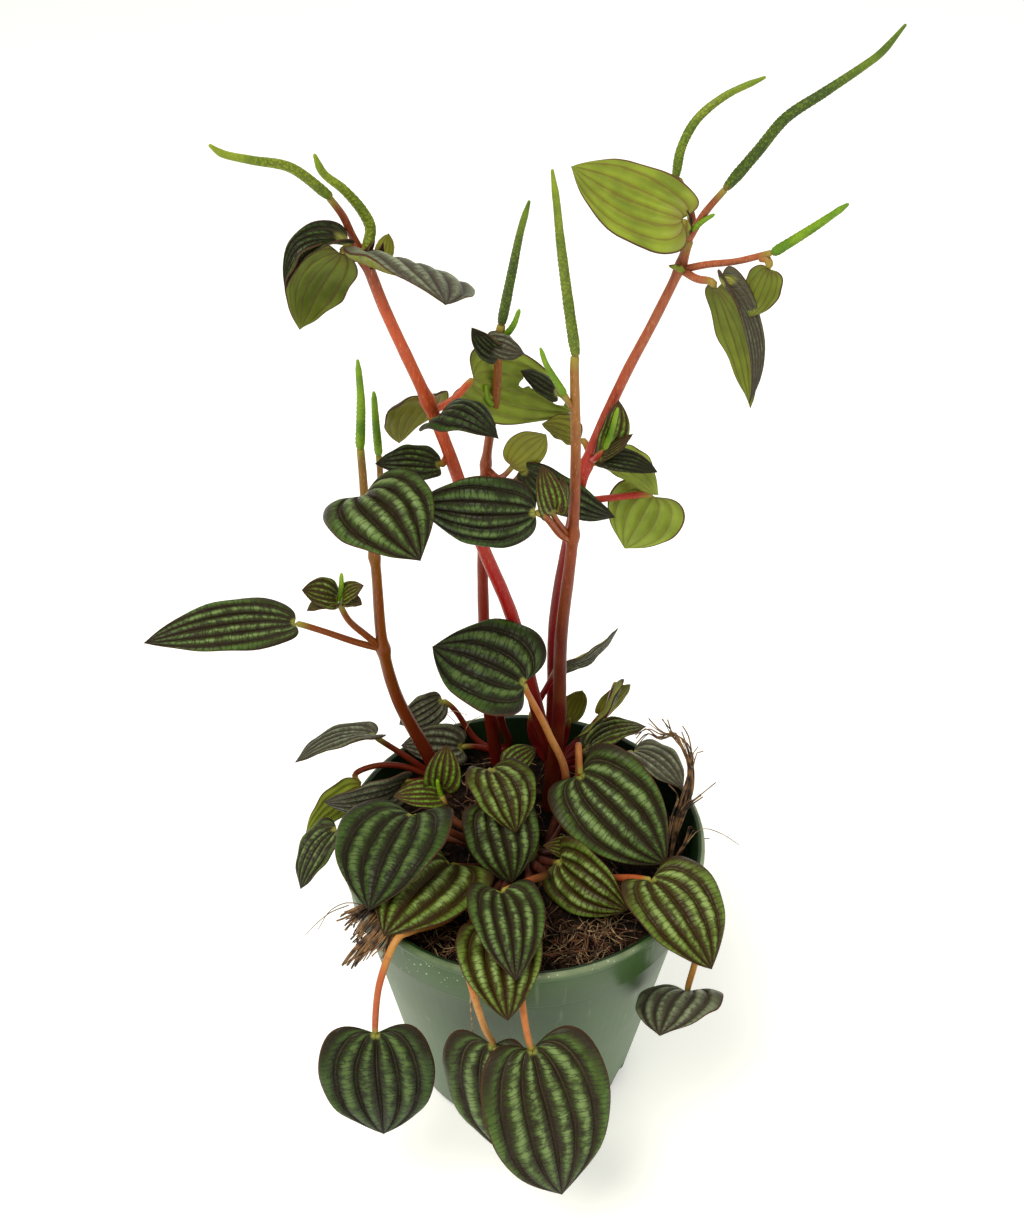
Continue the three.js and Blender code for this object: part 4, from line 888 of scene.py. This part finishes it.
def spike(points, root, tip, ring_gap=0.3, sides=20):
    """A flower spike: tiny florets crowd round its lower two thirds in a spiral, and its tapered
    end is still smooth."""
    length = smooth_line(points, 4)[1] / MM

    def radius_at(t, angle, place):
        crowded = max(0, min(1, 3 * (0.85 - t))) * min(1, 30 * t)
        row = t * length / FLORET_ROW
        bump = math.sin(FLORETS_AROUND * angle + math.pi * math.floor(row))
        bump *= math.sin(math.pi * (row % 1))
        radius = 0.84 * (root + (tip - root) * t ** 1.5) * min(1, 0.45 + 5 * (1 - t))
        radius *= 0.75 + 0.25 * min(1, 12 * t)
        return radius * (1 + crowded * (0.04 + 0.16 * bump) + 0.05 * noise.noise(place / (3 * MM)))

    return rod(points, radius_at, sides, ring_gap)


def make_growers():
    """The crown and the five stems with their stalks, young leaves and buds."""
    for name, grower in GROWERS.items():
        line, root, tip = grower["stem"]
        rods = [stalk(line, root, tip, grower["joints"], 20)]
        for route, start, end in grower["side"]:
            rods.append(stalk(route, start, end))
        for leaf in LEAVES:
            if leaf["on"] == name:
                thick = STALK_RADIUS * (1.1 if name == "crown" else 0.85)
                rods.append(stalk(leaf["through"] + [leaf["base"]], thick, STALK_RADIUS * 0.72))
        slots = {"crown": "leaf_stalk", "stem_a": "stem", "stem_e": "stem"}
        settle(joined(rods, name + "_and_stalks"), STEM_SKINS[name], slots.get(name, "stem_dark"), name)
        for i, shape in enumerate(grower["young"]):
            leaf = blade(**shape, seed=60 + i)
            leaf.name = f"{name}_young_leaf_{i + 1}"
            settle(leaf, None, "leaf", name)
        for i, (route, start, end) in enumerate(grower["buds"]):
            bud = spike(route, start, end)
            bud.name = f"{name}_bud_{i + 1}"
            settle(bud, YOUNG_SPIKE, "flower_spike", name)


make_growers()


# The flower spikes stand on the ends of the stems. Each is a thin green rod crowded with florets
# half a millimetre wide, and its tip, where they haven't opened yet, is smooth and tapers.
SPIKES = [
    ("spike_a_short", [(-33.8, 2.4, 262.6), (-33, 3.8, 266.4), (-34.4, 4, 270), (-38, 3.4, 275),
                       (-42, 2.6, 279), (-43.5, 2.6, 283)], 1.35, 0.9, RIPE_SPIKE),
    ("spike_a_long", [(-40.8, -4.3, 277.2), (-47, -8, 284), (-54, -12, 287), (-59, -14, 289),
                      (-61, -16, 291.5)], 1.3, 0.8, RIPE_SPIKE),
    ("spike_b_tall", [(-39, 9, 210.6), (-38, 8, 223), (-38, 7, 234)], 1.3, 0.8, YOUNG_SPIKE),
    ("spike_b_side", [(-35.5, 16, 204.6), (-35.6, 15, 213), (-35.5, 14, 222)], 1.15, 0.8, YOUNG_SPIKE),
    ("spike_c", [(-5.3, 25.9, 234.5), (-3, 24.9, 247), (-1.1, 23, 257.6), (0.9, 22, 265.4)],
     1.35, 0.85, SPIKE),
    ("spike_d", [(11, 2, 238.6), (9, 0, 252), (7, -3, 267), (6, -5, 276), (5, -6, 283)],
     1.4, 0.8, RIPE_SPIKE),
    ("spike_e_long", [(44.8, 21.6, 269.1), (50, 20, 277), (55, 18, 285), (62, 16, 291), (69, 14, 297),
                      (72, 13, 300), (76, 12, 306)], 1.4, 0.8, SPIKE),
    ("spike_e_short", [(34.2, 32, 268), (35, 33, 273), (38, 34, 279), (44, 35, 284), (53, 36, 288)],
     1.2, 0.8, RIPE_SPIKE),
    ("spike_e_side", [(54.6, 8.6, 259.4), (61, 5, 266), (67, 1, 273)], 1.2, 0.8, YOUNG_SPIKE),
]
for node, route, root, tip, skin in SPIKES:
    start, onward = Vector(route[0]), Vector(route[1])
    sunk = start - 1.6 * (onward - start).normalized()
    piece = spike([sunk] + route, root, tip)
    piece.name = "florets_of_" + node
    settle(piece, skin, "flower_spike", node)


# The soil is a dark, crumbly potting mix of composted bark and coir, a little below the rim. Its
# top is lumpy, with loose crumbs and pale dead roots lying on it.
SOIL_TOP = 80.5
SOIL_RADIUS = RIM_RADIUS - 4.4
SOIL_SIDES = 120
SOIL_RINGS = 44
CRUMBS = 420
PALE_ROOTS = 190
BROWN_FIBRES = 320


def bark_and_coir_mix(name, dark, light, roughness=0.9):
    """Matt, nearly black crumb with brown flecks, rough to the touch."""
    soil = new_material(name)
    place = add(soil, "TexCoord").outputs["Object"]
    fleck = add(soil, "TexNoise", {"Vector": place, "Scale": 420, "Detail": 6, "Roughness": 0.7}).outputs[0]
    crumb = add(soil, "TexVoronoi", {"Vector": place, "Scale": 620}).outputs[0]
    skin = blend(soil, between(soil, fleck, 0.42, 0.72), dark, light)
    skin = blend(soil, sum_of(soil, between(soil, crumb, 0.35, 0.75), 0.5, 0), skin, "#070504")
    bump = add(soil, "Bump", {"Height": fleck, "Strength": 0.9, "Distance": 0.6 * MM}).outputs[0]
    return surface(soil, Base_Color=skin, Roughness=roughness, Normal=bump, Specular_IOR_Level=0.12)


def dry_fibre(name, dark, light):
    """Dull plant fibre, streaked light and dark along its length."""
    fibre = new_material(name)
    place = add(fibre, "TexCoord").outputs["Object"]
    streak = add(fibre, "TexNoise", {"Vector": place, "Scale": 350, "Detail": 4}).outputs[0]
    skin = blend(fibre, between(fibre, streak, 0.35, 0.65), dark, light)
    return surface(fibre, Base_Color=skin, Roughness=0.75)


SOIL_MIX = bark_and_coir_mix("bark_and_coir_mix", "#080402", "#38241a")
BARK = bark_and_coir_mix("bark_crumb", "#1c100a", "#543a26")
PALE_ROOT = dry_fibre("pale_dead_root", "#4a3826", "#b0946c")
COIR = dry_fibre("coir_fibre", "#24150b", "#86633f")
RED_FIBRE = dry_fibre("red_brown_fibre", "#2a140a", "#70452a")


def lumpy(x, y):
    """The height of the soil's top in mm."""
    place = Vector((x / 9, y / 9, 0.4))
    lumps = 1.1 * noise.noise(place)
    return SOIL_TOP + lumps + 0.8 * noise.noise(place * 3.1) + 0.35 * noise.noise(place * 9)


def make_soil():
    """The soil, drawn up from a disc like the pot that it fills, and then in to its middle."""
    inner = BASE_RADIUS - POT_WALL - 0.9
    wall = WALL_TOP - POT_WALL - 0.8
    profile = [(inner, POT_FLOOR + 0.4), (inner + 0.6, 5), (wall, BAND_BOTTOM - 2)]
    profile += [(SOIL_RADIUS * (1 - i / SOIL_RINGS), SOIL_TOP) for i in range(SOIL_RINGS)]
    radius, height = profile[0]
    bpy.ops.mesh.primitive_circle_add(
        vertices=SOIL_SIDES, radius=radius * MM, fill_type="NGON", location=(0, 0, height * MM))
    soil = bpy.context.object
    bpy.ops.object.transform_apply(location=True, rotation=False, scale=False)
    soil.name = "potting_mix"
    draw_up(profile)
    for corner in soil.data.vertices:
        if corner.co.z > (SOIL_TOP - 1) * MM:
            corner.co.z = lumpy(corner.co.x / MM, corner.co.y / MM) * MM
    bpy.ops.object.shade_smooth()
    return settle(soil, SOIL_MIX, "soil", "soil")


def make_crumbs():
    """Loose bits of bark, each a small rough lump, half sunk in the soil."""
    draw = random.Random(41)
    bpy.ops.mesh.primitive_ico_sphere_add(subdivisions=2, radius=1 * MM)
    lump = bpy.context.object
    crumbs = []
    for i in range(CRUMBS):
        reach = SOIL_RADIUS * draw.random() ** 0.5 * 0.97
        turn = draw.uniform(0, 2 * math.pi)
        x, y = reach * math.cos(turn), reach * math.sin(turn)
        crumb = bpy.data.objects.new("crumb", lump.data.copy())
        bpy.context.collection.objects.link(crumb)
        size = draw.uniform(0.5, 1.7)
        stretch = Vector((draw.uniform(0.6, 1.6), draw.uniform(0.5, 1), draw.uniform(0.35, 0.7))) * size
        turned = Matrix.Rotation(draw.uniform(0, math.pi), 4, "Z")
        spin = turned @ Matrix.Rotation(draw.uniform(-0.5, 0.5), 4, "X")
        for corner in crumb.data.vertices:
            knob = 1 + 0.35 * noise.noise(corner.co / MM * 1.4 + Vector((i, 0, 0)))
            corner.co = spin @ (Vector([a * b for a, b in zip(corner.co, stretch)]) * knob)
            corner.co += Vector((x, y, lumpy(x, y) + 0.15 * size)) * MM
        crumbs.append(crumb)
    bpy.data.objects.remove(lump)
    return settle(joined(crumbs, "bark_crumbs"), BARK, "soil")


def threads(name, lines, thickness, material, slot, *nodes):
    """Many fine fibres as one piece. lines are lists of places in mm."""
    curve = bpy.data.curves.new(name, "CURVE")
    curve.dimensions = "3D"
    curve.bevel_depth = 1 * MM
    curve.bevel_resolution = 1
    curve.use_fill_caps = True
    for line, radius in zip(lines, thickness):
        places, _ = smooth_line(line, max(6, 3 * len(line)))
        spline = curve.splines.new("POLY")
        spline.points.add(len(places) - 1)
        for i, (point, place) in enumerate(zip(spline.points, places)):
            point.co = (*place, 1)
            point.radius = radius * (1 - 0.5 * i / len(places))
    piece = bpy.data.objects.new(name, curve)
    bpy.context.collection.objects.link(piece)
    select_only(piece)
    bpy.ops.object.convert(target="MESH")
    bpy.ops.object.shade_smooth()
    return settle(bpy.context.object, material, slot, *nodes)


def make_root_threads(name, seed, count, thickest, material):
    """Fine fibres that wind over the soil, most of them at the front."""
    draw = random.Random(seed)
    lines = []
    for i in range(count):
        if i % 3 == 0:
            x, y = draw.gauss(21, 9), draw.gauss(-34, 6)
        elif i % 3 == 1:
            x, y = draw.gauss(-20, 8), draw.gauss(-35, 6)
        else:
            x, y = draw.uniform(-38, 38), draw.uniform(-38, 38)
        turn = draw.uniform(0, 2 * math.pi)
        line = []
        for _ in range(draw.randint(4, 7)):
            if math.hypot(x, y) > SOIL_RADIUS - 2:
                break
            line.append((x, y, lumpy(x, y) + draw.uniform(-0.2, 2.8)))
            turn += draw.uniform(-1.1, 1.1)
            step = draw.uniform(1.6, 3.2)
            x, y = x + step * math.cos(turn), y + step * math.sin(turn)
        if len(line) > 2:
            lines.append(line)
    return threads(name, lines, [draw.uniform(0.08, thickest) for _ in lines], material, "coir")


make_soil()
make_crumbs()
make_root_threads("pale_roots", 12, PALE_ROOTS, 0.22, PALE_ROOT)
make_root_threads("brown_fibres", 14, BROWN_FIBRES, 0.26, RED_FIBRE)


# The coir tufts are ends of coconut fibre from the mix: a coarse bundle that hangs over the rim at
# the left, and a thin, frayed wisp that stands at the right.
HAIR_RADIUS = 0.16
LEFT_TUFT = [
    [(-35, -24, 81.5), (-38, -27.6, 91.2), (-41.6, -31, 93.6), (-45.6, -32.6, 92.4), (-48, -33, 91)],
    [(-35, -24, 81.5), (-38, -27.6, 91.2), (-41.4, -31.4, 92.8), (-44.6, -32.8, 91), (-46.8, -33, 88.6)],
    [(-34.6, -25, 81.5), (-37.8, -28.4, 91.2), (-40.6, -32, 92.4), (-43.4, -34, 90.6), (-45.4, -34.4, 87.2)],
    [(-34.6, -25, 81.5), (-37.4, -29, 91.2), (-40, -33, 92), (-42.4, -35.4, 90), (-44, -36, 87.4)],
    [(-33.4, -26.6, 81.5), (-36, -31.6, 91.2), (-38.6, -35.4, 91.6), (-44, -38.4, 87), (-48, -39, 81.6)],
    [(-33.4, -26.6, 81.5), (-35.8, -31.6, 91.2), (-38.2, -36, 91.4), (-43.4, -38.8, 86), (-46.8, -39, 80.6)],
    [(-33, -27, 81.5), (-35.4, -32.2, 91.2), (-37.6, -36.4, 91), (-41.8, -38.8, 86), (-45, -39.2, 80.4)],
    [(-32.6, -28, 81.5), (-34.8, -33.4, 91.2), (-36.8, -37.4, 91), (-40.2, -39.4, 87.4), (-43, -39.6, 84.2)],
    [(-32, -28.4, 81.5), (-34, -34.4, 91.2), (-35.6, -38.6, 91), (-38, -40, 88.4), (-39.6, -40, 86.2)],
    [(-31, -29.4, 81.5), (-33, -35.6, 91.2), (-34.4, -39.6, 91.4), (-35.6, -41, 88.8), (-36.4, -41.2, 85.6)],
]
LEFT_HAIRS = [
    [(-41, -30, 93), (-46, -30, 94.4), (-51, -29, 90.4), (-55.2, -28, 81.6)],
    [(-46, -30, 93.4), (-51, -29.4, 90), (-55, -28.6, 85), (-58.6, -28, 79.6)],
]
RIGHT_TUFT = [
    [(41.4, -5, 81.5), (42.1, -2, 85.1), (43, 2, 92.9), (46.9, 6, 98.7), (47, 9, 105.4), (44.9, 12, 111),
     (42.4, 14, 114), (39.3, 17, 118.4)],
    [(41.6, -5, 81.5), (42.1, -2, 85.1), (45.1, 2, 94.9), (47, 6, 100.6), (46.6, 9, 107.3), (46.1, 12, 110.2),
     (45.2, 13, 112.3)],
    [(41.4, -5, 81.5), (42.4, -1.6, 86), (43.2, 2, 93), (47, 9, 105.4), (47.8, 11, 108.5), (46.5, 12, 112.1),
     (44.6, 13, 116.8)],
    [(41.4, -5, 81.5), (42.1, -2, 85.1), (45, 3, 95), (47, 9, 105.4), (48.2, 11, 110.4), (49.7, 12, 111)],
    [(41.4, -5, 81.5), (43, 0, 88), (45, 2, 96.8), (49, 2, 102.6), (52.2, 2, 107.1)],
    [(43, 2, 92.9), (46.9, 6, 99), (46.4, 11, 109), (43.8, 13, 113.1), (39.6, 14, 114.8), (36.4, 15, 118)],
    [(44.9, 12, 110), (42.4, 14, 114), (38.3, 14, 112.9), (34.9, 15, 114.3), (31.7, 15, 110.9)],
    [(42, -4, 82), (46, 0, 86.6), (47.6, 4, 88), (49.7, 4, 85.6), (51.9, 4, 84)],
    [(40.4, -4, 84), (40.4, -4, 91.1), (41.5, 0, 96.8), (43.8, 4, 100.6), (41, 6, 102.6)],
]


def make_tuft(name, strands, count, spread, thickness, seed, hairs, node):
    """Fibres that follow a tuft's main strands and fray away from them towards their ends, with a
    few single hairs."""
    draw = random.Random(seed)
    lines = []
    for i in range(count):
        strand = strands[i % len(strands)]
        lean = Vector((draw.gauss(0, 1), draw.gauss(0, 1), draw.gauss(0, 0.7))) * spread
        line = []
        last = draw.randint(3, len(strand)) if i >= len(strands) else len(strand)
        for k, place in enumerate(strand[:last]):
            share = k / (len(strand) - 1)
            shake = Vector((draw.gauss(0, 1), draw.gauss(0, 1), draw.gauss(0, 1))) * 0.35
            line.append(Vector(place) + lean * share + shake * min(1, 2 * share))
        lines.append(line)
    sizes = [draw.uniform(0.5, 1) * thickness for _ in lines] + [HAIR_RADIUS] * len(hairs)
    return threads(name, lines + hairs, sizes, COIR, "coir", node)


make_tuft("coir_tuft_over_rim", LEFT_TUFT, 150, 0.75, 0.5, 5, LEFT_HAIRS, "coir_tuft_left")
make_tuft("coir_wisp_at_right", RIGHT_TUFT, 44, 0.8, 0.36, 6, [], "coir_tuft_right")


# Pale hairs are single dead roots that have worked loose from the mix. They stand at the right and
# at the back of the rim, and a thicker one hangs down the front of the pot.
PALE_HAIRS = [
    [(44, -2, 83), (50, 0, 91.4), (55.7, 0, 89.6), (61.2, 0, 85)],
    [(-21, 41, 82), (-24.7, 42, 95), (-21, 42, 98.7), (-16.2, 42, 97)],
    [(-20, 41, 82), (-19.6, 42, 93), (-23, 42, 98)],
    [(-18, 41, 82), (-16, 42, 94), (-11, 42, 97.4)],
    [(-13, -48, 91), (-13.4, -51.4, 88), (-13.6, -50.8, 75.7), (-13.1, -48.6, 60.6)],
]
threads("pale_hairs", PALE_HAIRS, [HAIR_RADIUS] * 4 + [0.3], PALE_ROOT, "coir")


# The fertiliser bead is one round, tan grain of slow-release plant food. It lies on the soil near
# the front of the rim.
BEAD_RADIUS = 1.1
BEAD_AT = (17.6, -42)


def make_fertiliser_bead():
    """A small ball that rests on the soil's lumpy top."""
    bpy.ops.mesh.primitive_uv_sphere_add(segments=24, ring_count=16, radius=BEAD_RADIUS * MM)
    bead = bpy.context.object
    bead.name = "fertiliser_bead"
    for corner in bead.data.vertices:
        corner.co += Vector((*BEAD_AT, lumpy(*BEAD_AT) + 1.4)) * MM
    bpy.ops.object.shade_smooth()
    return settle(bead, dry_fibre("fertiliser_bead_shell", "#b3925f", "#d3b88c"), "soil")


make_fertiliser_bead()


# The plant stands on a plain, pale studio table with soft light from above and both sides.
def studio():
    """Floor, lights and a bright, even surround."""
    bpy.ops.mesh.primitive_plane_add(size=12)
    floor = bpy.context.object
    floor.name = "studio_floor"
    table = new_material("pale_table")
    glow = dict(Emission_Color=(1, 1, 1, 1), Emission_Strength=0.35)
    surface(table, Base_Color=linear("#f6f6f4"), Roughness=0.9, **glow)
    floor.data.materials.append(table)
    world = bpy.data.worlds.new("studio")
    bpy.context.scene.world = world
    world.use_nodes = True
    surround = world.node_tree.nodes["Background"]
    surround.inputs[0].default_value = linear("#fffdf4")
    surround.inputs[1].default_value = 0.42
    lights = [
        ("key", (-0.5, -0.5, 1.4), 0.8, 18.5),
        ("fill", (0.9, -0.7, 0.8), 0.9, 4),
        ("back", (0.3, 1.0, 1.1), 0.8, 4),
    ]
    for name, place, size, power in lights:
        aim = Vector((0, 0, 0.15)) - Vector(place)
        turn = aim.to_track_quat("-Z", "Y").to_euler()
        bpy.ops.object.light_add(type="AREA", location=place, rotation=turn)
        light = bpy.context.object
        light.name = name + "_light"
        light.data.size = size
        light.data.energy = power
        light.data.color = linear("#fffbee")[:3]
    bpy.context.scene.view_settings.view_transform = "Standard"


studio()
